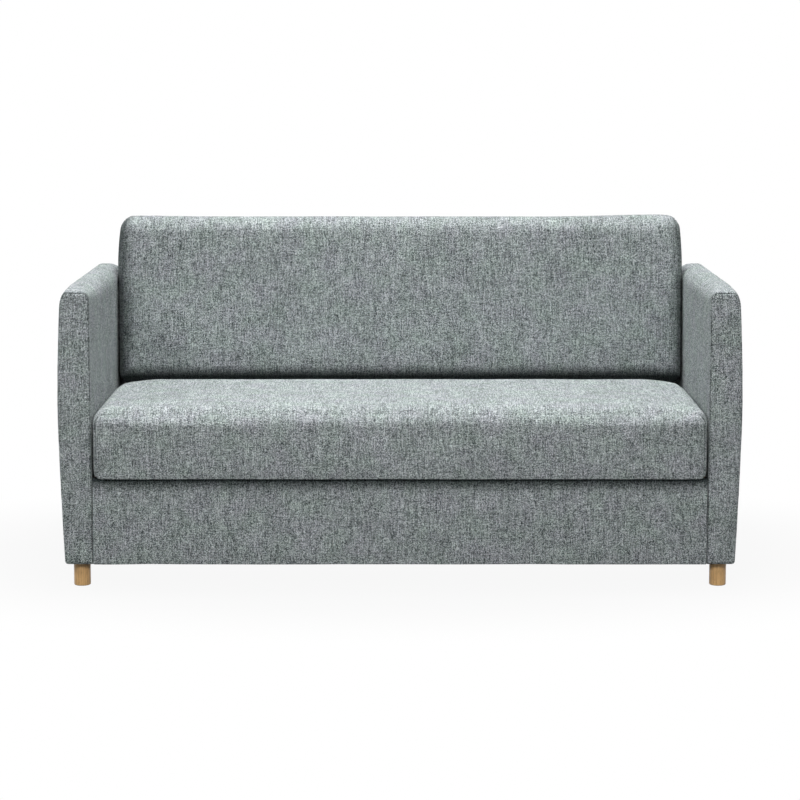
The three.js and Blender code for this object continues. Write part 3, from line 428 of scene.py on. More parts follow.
def wood(name, light, dark, pore, along, ring, roughness, coat):
    """Sawn wood: growth rings round a heart beside the piece, with streaks and pores along the grain.
    along is the grain's axis and ring the width of a growth ring."""
    g = Graph(name)
    place = g.add("ShaderNodeTexCoord").outputs["Object"]
    stretch, flat = (tuple(share if k == along else 1.0 for k in range(3)) for share in (0.05, 0.0))
    drawn = g.scaled(place, stretch)
    from_heart = {0: g.scaled(place, flat), 1: tuple(WOOD_HEART * f for f in flat)}
    heart = g.add("ShaderNodeVectorMath", from_heart, operation="SUBTRACT").outputs[0]
    reach = g.add("ShaderNodeVectorMath", {0: heart}, operation="LENGTH").outputs["Value"]
    sway = g.noise(drawn, 9.0, 3.0, 0.5)
    rings = g.math("ADD", g.math("DIVIDE", reach, ring), g.math("MULTIPLY", sway, 9.0))
    bands = g.math("POWER", g.math("FRACT", rings), 1.6)
    streak = g.noise(drawn, 420.0, 3.0, 0.65)
    share = g.mix(0.55, bands, streak)
    colour = g.ramp(share, [(0.15, light), (0.85, dark)])
    pores = g.math("GREATER_THAN", g.noise(drawn, 1500.0, 1.0, 0.5), 0.63)
    colour = g.tint(colour, (*pore, 1.0), g.math("MULTIPLY", pores, 0.45), "MIX")
    uneven = g.math("MULTIPLY_ADD", streak, 0.2, roughness - 0.1)
    height = g.math("SUBTRACT", g.math("MULTIPLY", share, 0.3), pores)
    return g.surface(Base_Color=colour, Roughness=uneven, Coat_Weight=coat, Coat_Roughness=0.25,
                     Normal=g.bump(height, 0.0003, 0.5))


FABRIC = heathered_fabric()
DUST_CLOTH = mottled(
    "dust_cloth", patches=(900.0, 3.0, 0.7), roughness=(0.0, 0.9), bump=(0.0004, 0.8),
    tones=((0.3, (0.012, 0.012, 0.013)), (0.7, (0.035, 0.036, 0.038))),
)
OAK = wood(
    "oak_wood", (0.800, 0.500, 0.215), (0.600, 0.345, 0.135), (0.30, 0.16, 0.06),
    along=2, ring=0.006, roughness=0.42, coat=0.15,
)
PINE_TONES = ((0.620, 0.440, 0.240), (0.500, 0.305, 0.135), (0.40, 0.23, 0.10))
PINE_ACROSS = wood("pine_across", *PINE_TONES, along=0, ring=0.005, roughness=0.6, coat=0.0)
PINE_ALONG = wood("pine_along", *PINE_TONES, along=1, ring=0.005, roughness=0.6, coat=0.0)
PLY = wood(
    "ply_wood", (0.560, 0.370, 0.190), (0.460, 0.280, 0.130), (0.32, 0.18, 0.08),
    along=0, ring=0.012, roughness=0.6, coat=0.0,
)
BIRCH = wood(
    "birch_wood", (0.700, 0.540, 0.330), (0.610, 0.440, 0.240), (0.46, 0.30, 0.16),
    along=0, ring=0.007, roughness=0.45, coat=0.3,
)
POWDER_COAT = mottled(
    "powder_coat", patches=(24.0, 5.0, 0.7), grain=(700.0, 2.0), roughness=(0.25, 0.33), bump=(0.0002, 0.5),
    tones=((0.35, (0.030, 0.032, 0.035)), (0.75, (0.055, 0.057, 0.060))),
)
ZINC = mottled(
    "zinc_plate", patches=(55.0, 3.0), grain=(1500.0, 2.0), roughness=(0.2, 0.34), bump=(0.0001, 0.5),
    tones=((0.3, (0.36, 0.37, 0.38)), (0.75, (0.43, 0.44, 0.445))), stretch=(1.0, 0.05, 1.0), metallic=0.92,
)
RUBBER = mottled(
    "wheel_rubber", patches=(300.0, 4.0, 0.7), roughness=(0.2, 0.5), bump=(0.0003, 0.5),
    tones=((0.35, (0.018, 0.018, 0.019)), (0.75, (0.060, 0.058, 0.056))),
)
MATERIAL_OF_SLOT = {
    "fabric": FABRIC, "oak": OAK, "pine": PINE_ACROSS, "ply": PLY, "birch": BIRCH,
    "frame_steel": POWDER_COAT, "zinc_steel": ZINC, "castor_rubber": RUBBER,
}
MATERIAL_OF_NODE = {"left_carriage_side": PINE_ALONG, "right_carriage_side": PINE_ALONG}


# Meshes

def make_mesh(name, points, faces, uvs=None, seam=None, materials=(FABRIC,), slots=None):
    """A smooth mesh object. uvs holds a pair for each face corner, in the order of the faces."""
    mesh = bpy.data.meshes.new(name)
    mesh.from_pydata([tuple(p) for p in points], [], [tuple(int(i) for i in f) for f in faces])
    if uvs is not None:
        layer = mesh.uv_layers.new(name="weave")
        layer.data.foreach_set("uv", np.asarray(uvs, np.float32).ravel())
    # Painted look of each point: shade in seam folds and slots above 0, a paler seam lip below 0
    if seam is not None:
        attribute = mesh.attributes.new("seam", "FLOAT", "POINT")
        attribute.data.foreach_set("value", np.asarray(seam, np.float32))
    for material in materials:
        mesh.materials.append(material)
    if slots is not None:
        mesh.polygons.foreach_set("material_index", np.asarray(slots, np.int32))
    mesh.polygons.foreach_set("use_smooth", np.ones(len(mesh.polygons), bool))
    mesh.validate()
    mesh.update()
    piece = bpy.data.objects.new(name, mesh)
    bpy.context.scene.collection.objects.link(piece)
    return piece


def local_box(node, turn):
    """Lowest and highest corner of a CAD node in a turned frame."""
    back = turn.inverted()
    places = np.array([back @ v.co for v in frame["nodes"][node].data.vertices])
    return places.min(0), places.max(0)


def lines_along(low, high, round_, cell, marks, extra=()):
    """Grid lines between two ends, close together in the rounded edges, and their arc lengths."""
    quarter = math.pi / 4 * round_
    arcs = np.unique(np.concatenate([marks, np.linspace(0.0, quarter, ROUND_LINES)]))
    arcs = arcs[arcs <= quarter + 1e-9]
    start = low + round_ * (1 - np.tan(math.pi / 4 - arcs / round_))
    count = max(1, round((high - low - 2 * round_) / cell))
    middle = np.linspace(low + round_, high - round_, count + 1)
    inside = [place for place in extra if low + round_ < place < high - round_]
    middle = np.unique(np.concatenate([middle[1:-1], inside]))
    spaced = np.diff(np.concatenate([[low + round_], middle])) > LINE_SPACING
    middle = middle[spaced & (middle < high - round_ - LINE_SPACING)]
    end = low + high - start[::-1]
    length = 2 * quarter + high - low - 2 * round_
    places = np.concatenate([start, middle, end])
    all_arcs = np.concatenate([arcs, quarter + middle - low - round_, length - arcs[::-1]])
    return places, all_arcs


def edge_zone(low, high, round_, zone):
    """Grid lines for the part of a wider round that lies past the edge's own round."""
    depths = np.arange(round_ + ZONE_STEP, zone, ZONE_STEP)
    return [*(low + depths), *(high - depths)]


def box_grid(counts):
    """Welded vertices of a grid box as index triples, with its quads, their corner triples and sides."""
    triples, quads, sides, total = [], [], [], 0
    for axis in range(3):
        b, c = (axis + 1) % 3, (axis + 2) % 3
        for end in (0, counts[axis]):
            i, j = np.meshgrid(np.arange(counts[b] + 1), np.arange(counts[c] + 1), indexing="ij")
            grid = np.zeros((*i.shape, 3), int)
            grid[..., axis], grid[..., b], grid[..., c] = end, i, j
            number = total + np.arange(i.size).reshape(i.shape)
            total += i.size
            quad = np.stack([number[:-1, :-1], number[1:, :-1], number[1:, 1:], number[:-1, 1:]], -1)
            quad = quad.reshape(-1, 4)
            quads.append(quad if end else quad[:, ::-1])
            sides.append(np.full(len(quad), 2 * axis + (1 if end else 0)))
            triples.append(grid.reshape(-1, 3))
    triples, quads = np.concatenate(triples), np.concatenate(quads)
    welded, number = np.unique(triples, axis=0, return_inverse=True)
    return welded, number.ravel()[quads], triples[quads], np.concatenate(sides)


def padded_shape(sharp, low, high, round_, crown, swell):
    """Points of a sharp box moved onto a crowned box with round edges, and their outward directions."""
    low, high = np.array(low), np.array(high)
    core = np.clip(sharp, low + round_, high - round_)
    out = sharp - core
    reach = np.abs(out).max(1, keepdims=True)
    length = np.linalg.norm(out, axis=1, keepdims=True)
    direction = out / np.maximum(length, 1e-12)
    place = core + direction * reach
    share = (sharp - (low + high) / 2) / ((high - low) / 2)
    fullness = 1 - np.abs(share) ** CROWN_POWER
    place[:, 0] += swell * share[:, 0] * fullness[:, 1] * fullness[:, 2]
    place[:, 1] += swell * share[:, 1] * fullness[:, 0] * fullness[:, 2]
    place[:, 2] += crown * np.maximum(share[:, 2], 0) * fullness[:, 0] * fullness[:, 1]
    return place, direction


def wave(places, length, seed):
    """A smooth, slow unevenness between -1 and 1."""
    random = np.random.default_rng(seed)
    total = np.zeros(len(places))
    for _ in range(WAVE_COUNT):
        direction = random.normal(size=3)
        direction *= 2 * math.pi / length / np.linalg.norm(direction) * random.uniform(0.6, 1.5)
        total += np.sin(places @ direction + random.uniform(0, 2 * math.pi))
    return total / WAVE_COUNT


def unevenness(places, waves, seed):
    """Sum of slow waves, each given by its height and length."""
    return sum(height * wave(places, length, seed + k) for k, (height, length) in enumerate(waves))


def rising(values, start, run):
    """Share that rises from 0 at start to 1 at the end of a run."""
    return np.clip((values - start) / run, 0, 1)


def round_corner(place, faces, radius, round_):
    """Rounds the corner between two faces more: to radius, from the round that it has.
    Each face is its axis, its place (one for all points, or one for each) and the way it faces."""
    faces = [(axis, np.broadcast_to(face, len(place)), facing) for axis, face, facing in faces]
    outs = [facing * (place[:, axis] - face) / radius + 1 for axis, face, facing in faces]
    rows = (outs[0] > 0) & (outs[1] > 0)
    a, b = outs[0][rows], outs[1][rows]
    length = np.hypot(a, b)
    core = 1 - round_ / radius
    along = core * (a + b) / length
    on_round = along + np.sqrt(np.maximum(0, along ** 2 - 2 * core ** 2 + (round_ / radius) ** 2))
    meets_round = np.minimum(a, b) > core * np.maximum(a, b)
    reach = np.where(meets_round, on_round, length / np.maximum(a, b))
    for (axis, face, facing), out in zip(faces, (a, b)):
        place[rows, axis] = face[rows] + facing * (out / reach - 1) * radius


def bulge_at(place, low, high, axis, amount):
    """How far a padded box's face stands out at each point, so that its edges are rounded from there."""
    others = [k for k in range(3) if k != axis]
    share = np.clip((place - (low + high) / 2) / ((high - low) / 2), -1, 1)[:, others]
    return amount * np.prod(1 - np.abs(share) ** CROWN_POWER, axis=1)


def seam_profile(distance):
    """Height of the cloth beside a seam, and its painted look: 1 is shade painted into the fold, below 0
    is the pale lip, partly wear and partly a painted highlight.
    """
    dip = np.exp(-((distance / SEAM_WIDTH) ** 2))
    lip = np.exp(-(((distance - SEAM_LIP_PLACE) / SEAM_LIP_WIDTH) ** 2))
    return SEAM_LIP * lip - SEAM_DEPTH * dip, np.clip(dip, 0, 1) - SEAM_PALE_LIP * lip * (1 - dip)


def swell_under_pressure(name, points, faces, pinned, cap):
    """Movement of each point when the cover is blown up as cloth with its pinned points held."""
    cover = make_mesh(name + "_cloth", points, faces)
    held = cover.vertex_groups.new(name="held")
    held.add([int(i) for i in np.flatnonzero(pinned)], 1.0, "REPLACE")
    cloth = cover.modifiers.new("cloth", "CLOTH")
    for key, value in CLOTH_SETTINGS.items():
        setattr(cloth.settings, key, value)
    cloth.settings.effector_weights.gravity = 0
    cloth.collision_settings.use_collision = False
    scene = bpy.context.scene
    for step in range(1, CLOTH_STEPS + 1):
        scene.frame_set(step)
    settled = cover.evaluated_get(bpy.context.evaluated_depsgraph_get())
    places = np.zeros(len(points) * 3)
    settled.data.vertices.foreach_get("co", places)
    scene.frame_set(1)
    moved = places.reshape(-1, 3) - points
    mesh = cover.data
    bpy.data.objects.remove(cover)
    bpy.data.meshes.remove(mesh)
    far = np.linalg.norm(moved, axis=1, keepdims=True)
    return moved * cap * np.tanh(far / cap) / np.maximum(far, 1e-9)


def spread_over(values, coarse_triples, coarse_lines, triples, lines):
    """Values at a coarse grid's vertices, carried to a fine grid's, one side of the box at a time."""
    counts = [len(line) for line in coarse_lines]
    result = np.zeros((len(triples), 3))
    for axis in range(3):
        b, c = (axis + 1) % 3, (axis + 2) % 3
        for end in (0, 1):
            known = coarse_triples[:, axis] == end * (counts[axis] - 1)
            rows = triples[:, axis] == end * (len(lines[axis]) - 1)
            table = np.zeros((counts[b], counts[c], 3))
            table[coarse_triples[known, b], coarse_triples[known, c]] = values[known]
            x = np.interp(lines[b][triples[rows, b]], coarse_lines[b], np.arange(counts[b]))
            y = np.interp(lines[c][triples[rows, c]], coarse_lines[c], np.arange(counts[c]))
            i = np.clip(x.astype(int), 0, counts[b] - 2)
            j = np.clip(y.astype(int), 0, counts[c] - 2)
            s, t = (x - i)[:, None], (y - j)[:, None]
            result[rows] = ((1 - s) * (1 - t) * table[i, j] + s * (1 - t) * table[i + 1, j]
                            + (1 - s) * t * table[i, j + 1] + s * t * table[i + 1, j + 1])
    return result


def smooth_over(values, quads, rounds):
    """Evens values out over a mesh's edges."""
    pairs = np.concatenate([quads[:, [k, (k + 1) % 4]] for k in range(4)])
    pairs = np.concatenate([pairs, pairs[:, ::-1]])
    count = np.bincount(pairs[:, 0], minlength=len(values))[:, None]
    for _ in range(rounds):
        beside = values[pairs[:, 1]].T
        total = np.stack([np.bincount(pairs[:, 0], column, len(values)) for column in beside], 1)
        values = (values + total / np.maximum(count, 1)) / 2
    return values


def soft_box(name, low, high, round_, crown, swell, turn=Matrix.Identity(4), warp=None, pocket=None,
             cell=CELL, cap=0.0, seed=1, seamed=True, zone=0.0, painted_shade_ends=()):
    """A padded box in a turned frame, with a band on each side (X) that is seamed to one long wrap.
    warp moves its points, pocket is its frame's room, cap the most that its cloth moves, zone its widest
    round, and the last argument lists the ends that are painted darker as shade, in rows of axis, facing,
    share of full shade and reach."""
    extra = [edge_zone(low[k], high[k], round_, zone) for k in range(3)]
    if pocket is not None:
        pocket_low, pocket_high, ceiling = pocket
        for k in range(2):
            near, far = pocket_low[k], pocket_high[k]
            extra[k] += (near - POCKET_STEP, near, far, far + POCKET_STEP)

    def build(size, marks, with_extra):
        made = [lines_along(low[k], high[k], round_, size, marks, extra[k] if with_extra else ())
                for k in range(3)]
        lines, arcs = zip(*made)
        grid = box_grid([len(line) - 1 for line in lines])
        sharp = np.stack([lines[k][grid[0][:, k]] for k in range(3)], 1)
        place, direction = padded_shape(sharp, low, high, round_, crown, swell)
        return lines, arcs, grid, sharp, place, direction

    lines, arcs, (triples, quads, corners, sides), sharp, place, direction = build(cell, SEAM_MARKS, True)
    last = [len(line) - 1 for line in lines]
    moved = None
    if cap:
        coarse_lines, _, coarse_grid, _, start, _ = build(COARSE_CELL, (0.0,), False)
        welded = coarse_grid[0]
        ends = [len(line) - 1 for line in coarse_lines]
        at_end = (welded == 0) | (welded == ends)
        pinned = (at_end[:, 0] & (at_end[:, 1] | at_end[:, 2])) | (welded[:, 2] == 0)
        moved = swell_under_pressure(name, start, coarse_grid[1], pinned, cap)
        moved = spread_over(moved, welded, coarse_lines, triples, lines)
        moved = smooth_over(moved, quads, CLOTH_EVENING)

    # Distance along the cloth to the seam between the wrap and the side bands, and the seam's painted
    # look: shade in the fold, a pale lip beside it
    edge = [np.minimum(arcs[k][triples[:, k]], arcs[k][-1] - arcs[k][triples[:, k]]) for k in range(3)]
    on_band = (triples[:, 0] == 0) | (triples[:, 0] == last[0])
    distance = np.where(on_band, np.minimum(edge[1], edge[2]), edge[0])
    height, seam = seam_profile(distance) if seamed else (np.zeros(len(place)), np.zeros(len(place)))
    place = place + direction * height[:, None]
    # Ends in slots and under overhangs are painted darker, as shade, in the same look as the seams' folds
    for axis, facing, amount, reach in painted_shade_ends:
        depth = high[axis] - sharp[:, axis] if facing > 0 else sharp[:, axis] - low[axis]
        seam = np.maximum(seam, amount * FULL_PAINTED_SHADE * np.clip(1 - depth / reach, 0, 1))
    uneven = unevenness(place, PAD_WAVES, seed)
    outward = np.zeros_like(place)
    for axis in range(3):
        outward[triples[:, axis] == 0, axis] -= 1
        outward[triples[:, axis] == last[axis], axis] += 1
    outward /= np.linalg.norm(outward, axis=1, keepdims=True)
    place = place + outward * uneven[:, None]
    if warp is not None:
        warp(place)
    if moved is not None:
        place += moved
    if pocket is not None:
        inside = triples[:, 2] == 0
        for k in range(2):
            inside &= sharp[:, k] > pocket_low[k] - POCKET_STEP / 2
            inside &= sharp[:, k] < pocket_high[k] + POCKET_STEP / 2
        place[inside] = sharp[inside]
        place[inside, 2] = ceiling

    # Cloth coordinates: the wrap runs round the box, the bands lie flat
    along = [arcs[k][corners[..., k]] for k in range(3)]
    length = [arc[-1] for arc in arcs]
    uv = np.zeros((*corners.shape[:2], 2))
    uv[..., 0] = np.where((sides < 2)[:, None], along[1], along[0])
    wraps = (along[2] + BAND_SHIFTS[0], along[2] + BAND_SHIFTS[1], along[2] - length[2],
             length[1] + length[2] - along[2], -length[2] - along[1], along[1])
    for side, value in enumerate(wraps):
        rows = sides == side
        uv[rows, :, 1] = value[rows]
    uv += seed * CLOTH_SHIFT
    matrix = np.array(turn)
    world = place @ matrix[:3, :3].T + matrix[:3, 3]
    return make_mesh(name, world, quads, uv, seam)


# Arms: a wrap from front to rear, with a panel seamed into its front end

ARM_LOW, ARM_HIGH = (np.array(corner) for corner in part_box("right_arm_cover"))
ARM_DEPTH = ARM_HIGH[1] - ARM_LOW[1]
ARM_TOP = ARM_HIGH[2] - ARM_CROWN
ARM_FOOT = ARM_LOW[2]
ARM_INNER = ARM_LOW[0]
ARM_OUTER = ARM_HIGH[0]


def arm_outer_at(z):
    """Place of the outer face at a height: fullest at the belly, drawn in towards foot and head."""
    belly = ARM_FOOT + BELLY_HEIGHT_SHARE * (ARM_TOP - ARM_FOOT)
    below = np.maximum(0, (belly - z) / (belly - ARM_FOOT))
    above = np.maximum(0, (z - belly) / (ARM_TOP - belly))
    return ARM_OUTER - ARM_FOOT_DRAW * below ** BELLY_POWER - ARM_HEAD_DRAW * above ** BELLY_POWER


def arm_top_at(y):
    """Height of the top at a depth behind the front: crowned, then falling, and rounded at the rear."""
    rise = ARM_CROWN * math.sqrt(min(1, max(0, y) / ARM_INNER_ROUND_DEPTH))
    fall = max(0, (y - ARM_LEVEL_DEPTH) / (ARM_DEPTH - ARM_LEVEL_DEPTH))
    past = max(0, y - (ARM_DEPTH - ARM_REAR_ROUND))
    corner = ARM_REAR_ROUND - math.sqrt(max(0, ARM_REAR_ROUND ** 2 - past ** 2))
    return ARM_TOP + rise - ARM_REAR_DROP * fall * fall * (3 - 2 * fall) - corner


def line(start, end, count):
    """Points on a straight line, without its last one."""
    return np.linspace(start, end, count, endpoint=False)


def arc(centre_x, centre_z, radius_x, radius_z, start, count):
    """Points on a quarter of an ellipse, clockwise from an angle, without its last one."""
    angle = np.radians(start - 90 * np.arange(count) / count)
    return np.stack([centre_x + radius_x * np.cos(angle), centre_z + radius_z * np.sin(angle)], 1)


def arm_outline(y, inset=0.0):
    """Closed outline across the arm at a depth: up the inner face, over the top, down the outer face."""
    share = min(1, max(0, y) / ARM_INNER_ROUND_DEPTH)
    round_ = ARM_INNER_ROUND_FRONT + (ARM_INNER_ROUND - ARM_INNER_ROUND_FRONT) * share
    inner, foot, head = ARM_INNER + inset, ARM_FOOT + inset, arm_top_at(y) - inset
    foot_round = ARM_INNER_FOOT_ROUND
    shoulder = head - ARM_SHOULDER_DROP
    shoulder_x = arm_outer_at(shoulder) - inset - ARM_SHOULDER_WIDTH
    corner_z = foot + ARM_FOOT_ROUND
    corner_x = arm_outer_at(corner_z) - inset - ARM_FOOT_ROUND
    outer_z = line(shoulder, corner_z, FACE_POINTS)
    return np.concatenate([
        line((inner, foot + foot_round), (inner, head - round_), FACE_POINTS),
        arc(inner + round_, head - round_, round_, round_, 180, TOP_ROUND_POINTS),
        line((inner + round_, head), (shoulder_x, head), TOP_POINTS),
        arc(shoulder_x, shoulder, ARM_SHOULDER_WIDTH, ARM_SHOULDER_DROP, 90, SHOULDER_POINTS),
        np.stack([arm_outer_at(outer_z) - inset, outer_z], 1),
        arc(corner_x, corner_z, ARM_FOOT_ROUND, ARM_FOOT_ROUND, 0, FOOT_POINTS),
        line((corner_x, foot), (inner + foot_round, foot), BOTTOM_POINTS),
        arc(inner + foot_round, foot + foot_round, foot_round, foot_round, 270, INNER_FOOT_POINTS),
    ])


def arm_medial(outline, y):
    """For each point of an outline, the nearest point of the line midway between the faces."""
    width = ARM_OUTER - ARM_INNER
    z = np.clip(outline[:, 1], ARM_FOOT + width / 2, arm_top_at(y) - width / 2)
    return np.stack([(ARM_INNER + arm_outer_at(z)) / 2, z], 1)


def drawn_in(outline, medial, distance):
    """An outline moved inwards by a distance, towards its line in the middle."""
    gap = medial - outline
    length = np.linalg.norm(gap, axis=1, keepdims=True)
    return outline + gap * np.minimum(1, distance / length)


def make_arm(name, side):
    """One arm's cover. side is 1 on the right and -1 on the left."""
    rings, seams = [], []

    def add_ring(outline, depth, share=0.0):
        rings.append(np.stack([outline[:, 0], np.full(len(outline), depth), outline[:, 1]], 1))
        seams.append(share)

    # Front panel from its middle out, then the wrap from its front edge to its rear round
    front = arm_outline(0)
    middle = arm_medial(front, 0)
    half = (ARM_OUTER - ARM_INNER) / 2
    add_ring(middle, -ARM_FRONT_SWELL)
    for distance in PANEL_INWARD[::-1]:
        bulge = ARM_FRONT_SWELL * (1 - (1 - distance / half) ** 2)
        add_ring(drawn_in(front, middle, distance), -bulge)
    for depth, inset, share in (*PANEL_RIM[::-1], WRAP_EDGE[0]):
        add_ring(drawn_in(front, middle, inset), depth, share)
    wrap_start = len(rings)
    for depth, inset, share in WRAP_EDGE[1:]:
        add_ring(arm_outline(depth, inset), depth, share)
    rear_round = ARM_DEPTH - ARM_REAR_ROUND
    run = np.concatenate([
        WRAP_STARTS, np.arange(WRAP_RUN_START, ARM_INNER_ROUND_DEPTH, CELL),
        np.linspace(ARM_INNER_ROUND_DEPTH, rear_round, WRAP_RINGS),
        rear_round + (ARM_REAR_ROUND - REAR_EDGE_ROUND) * ROUND_SHARES,
    ])
    for depth in run:
        add_ring(arm_outline(depth), depth)

    # Rear edge and rear face
    end = ARM_DEPTH - REAR_EDGE_ROUND
    rear = arm_outline(end)
    rear_middle = arm_medial(rear, end)
    for angle in np.radians(90 * ROUND_SHARES):
        inset = REAR_EDGE_ROUND * (1 - math.cos(angle))
        add_ring(drawn_in(rear, rear_middle, inset), end + REAR_EDGE_ROUND * math.sin(angle))
    wrap_end = len(rings) - 1
    for distance in PANEL_INWARD[1:]:
        add_ring(drawn_in(rear, rear_middle, distance), ARM_DEPTH)
    add_ring(rear_middle, ARM_DEPTH)

    count = len(front)
    points = np.concatenate(rings)
    # Seams' painted look: shade in the fold, a pale lip partly worn and partly a painted highlight
    look = np.interp(np.arange(count), ARM_SEAM_STOPS, ARM_SEAM_LOOKS)
    seam = np.outer(seams, look).ravel()
    uneven = unevenness(points, ARM_WAVES, ARM_WAVE_SEED)
    height = (points[:, 2] - ARM_FOOT) / (ARM_TOP - ARM_FOOT)
    on_inner_face = points[:, 0] < ARM_INNER + ARM_INNER_FOOT_ROUND
    uneven = np.where(on_inner_face, np.abs(uneven), uneven)
    points[:, 0] += uneven * np.clip(height * ARM_WAVE_RISE, 0, 1)
    steps = np.linalg.norm(np.diff(arm_outline(ARM_GIRTH_DEPTH), axis=0), axis=1)
    girth = [0, *np.cumsum([*steps, ARM_CLOSING_STEP])]
    faces, uvs, slots = [], [], []
    for i in range(len(rings) - 1):
        flat = i < wrap_start or i >= wrap_end
        on_wrap = wrap_start + DUST_CLOTH_FRONT < i < wrap_end - DUST_CLOTH_REAR
        for j in range(count):
            k = (j + 1) % count
            corners = (i * count + j, i * count + k, (i + 1) * count + k, (i + 1) * count + j)
            faces.append(corners)
            if flat:
                uvs.extend((points[c][0], points[c][2]) for c in corners)
            else:
                lengths = (girth[j], girth[j + 1], girth[j + 1], girth[j])
                uvs.extend((points[c][1], length) for c, length in zip(corners, lengths))
            slots.append(int(on_wrap and BOTTOM_START <= j < BOTTOM_END))
    points[:, 1] += ARM_LOW[1]
    if side < 0:
        points[:, 0] *= -1
        faces = [face[::-1] for face in faces]
        uvs = [uv for n in range(len(faces)) for uv in uvs[4 * n:4 * n + 4][::-1]]
        uvs = [(u + LEFT_ARM_SHIFT[0], v + LEFT_ARM_SHIFT[1]) for u, v in uvs]
    return make_mesh(name, points, faces, uvs, seam, (FABRIC, DUST_CLOTH), slots)


for word, side in (("left", -1), ("right", 1)):
    arm = make_arm(f"{word}_arm_upholstery", side)
    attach(arm, "base")
    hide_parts(f"{word}_arm_cover")


# Seat cushion, hollowed at the rear where the back section's heel swings past

pivot = JOINTS["seat_pivot"]
heel_points = np.array([v.co for v in frame["nodes"]["lower_back_pad"].data.vertices])
heel_points = heel_points[heel_points[:, 2] < pivot.z + HEEL_POINTS_HEIGHT]
HEEL_SWEEP = np.hypot(heel_points[:, 1] - pivot.y, heel_points[:, 2] - pivot.z).max() + HEEL_CLEARANCE
SEAT_LOW, SEAT_HIGH = (np.array(corner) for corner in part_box("seat_cushion"))
SEAT_BOX_LOW = SEAT_LOW + (FACE_SWELL, FACE_SWELL, 0.0)
SEAT_BOX_HIGH = SEAT_HIGH - (FACE_SWELL, 0.0, SEAT_CROWN)


def shape_seat(place):
    """Plumps the rear edge, rounds all upper edges and the ends, and hollows the rear face."""
    half, rear, top = SEAT_BOX_HIGH
    height = rising(place[:, 2], top - SEAT_ROLL_HEIGHT, SEAT_ROLL_HEIGHT)
    back = rising(place[:, 1], rear - SEAT_ROLL_REACH, SEAT_ROLL_REACH) ** 2
    across = rising(half - np.abs(place[:, 0]), 0, SEAT_CORNER_REACH)
    lift = SEAT_REAR_ROLL * across - SEAT_CORNER_SINK * (1 - across) ** 2
    place[:, 2] += height * back * lift
    swell = bulge_at(place, SEAT_BOX_LOW, SEAT_BOX_HIGH, 1, FACE_SWELL)
    front_face, rear_face = (1, SEAT_BOX_LOW[1] - swell, -1), (1, rear + swell, 1)
    foot_face = (2, SEAT_LOW[2], -1)
    at_top = place[:, 2] > top - SEAT_EDGE_ROUND
    crowned = top + bulge_at(place, SEAT_BOX_LOW, SEAT_BOX_HIGH, 2, SEAT_CROWN) * at_top
    top_face = (2, crowned, 1)
    for side in (-1, 1):
        round_corner(place, ((0, side * half, side), top_face), SEAT_SIDE_ROUND, SEAT_EDGE_ROUND)
    past = np.abs(place[:, 0]) - half + SEAT_SIDE_ROUND
    past = np.clip(past, 0, SEAT_SIDE_LIMIT * SEAT_SIDE_ROUND)
    drop = SEAT_SIDE_ROUND - np.sqrt(SEAT_SIDE_ROUND ** 2 - past ** 2)
    falling_top = (2, crowned - drop, 1)
    round_corner(place, (front_face, falling_top), SEAT_FRONT_ROUND, SEAT_EDGE_ROUND)
    round_corner(place, (rear_face, falling_top), SEAT_REAR_ROUND, SEAT_EDGE_ROUND)
    for side in (-1, 1):
        for face, radius in ((foot_face, SEAT_FOOT_ROUND), (front_face, SEAT_END_ROUND),
                             (rear_face, SEAT_CORNER_ROUND)):
            round_corner(place, ((0, side * half, side), face), radius, SEAT_EDGE_ROUND)
    rise = place[:, 2] - pivot.z
    wall = pivot.y - np.sqrt(np.maximum(0, HEEL_SWEEP ** 2 - rise ** 2))
    share = np.maximum(0, place[:, 1] - (rear - SEAT_HOLLOW_REACH)) / SEAT_HOLLOW_REACH
    place[:, 1] -= share * np.maximum(0, rear - wall)


seat = soft_box(
    "seat_cushion_cover", SEAT_BOX_LOW, SEAT_BOX_HIGH, SEAT_EDGE_ROUND, SEAT_CROWN, FACE_SWELL,
    warp=shape_seat, cap=CLOTH_CAP, seed=3, zone=SEAT_FRONT_ROUND, painted_shade_ends=PAINTED_SHADE_ENDS["seat_cushion"],
)
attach(seat, "seat_carriage")
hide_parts("seat_cushion")


# Mattress sections

def lean_at_fold(place, end, underside, top):
    """Slants the end at the fold, so that the front section's top rises over the rear's."""
    share = rising(end * place[:, 1], SECTION_REACH - FOLD_LEAN_REACH, FOLD_LEAN_REACH)
    place[:, 1] += FOLD_LEAN * share * (place[:, 2] - underside) / (top - underside)


def section_warp(low, high, end, is_cushion):
    """A warp that rounds the sleeping edges that show, then slants the end at the fold."""
    def warp(place):
        top = high[2] + bulge_at(place, low, high, 2, SECTION_CROWN)
        if is_cushion:
            round_corner(place, ((1, high[1], 1), (2, top, 1)), CUSHION_TOP_ROUND, SECTION_ROUND)
            round_corner(place, ((1, low[1], -1), (2, top, 1)), CUSHION_FOOT_ROUND, SECTION_ROUND)
            for side, edge_round in ((-1, CUSHION_LEFT_ROUND), (1, CUSHION_RIGHT_ROUND)):
                side_face = (0, side * high[0], side)
                round_corner(place, (side_face, (2, top, 1)), edge_round, SECTION_ROUND)
                round_corner(place, (side_face, (1, high[1], 1)), CUSHION_CORNER_ROUND, SECTION_ROUND)
            bulge_cushion(place, low, high)
        else:
            heel = low[1] if end > 0 else high[1]
            round_corner(place, ((1, heel, -end), (2, top, 1)), HEEL_ROUND, SECTION_ROUND)
        lean_at_fold(place, end, low[2], high[2])
    return warp


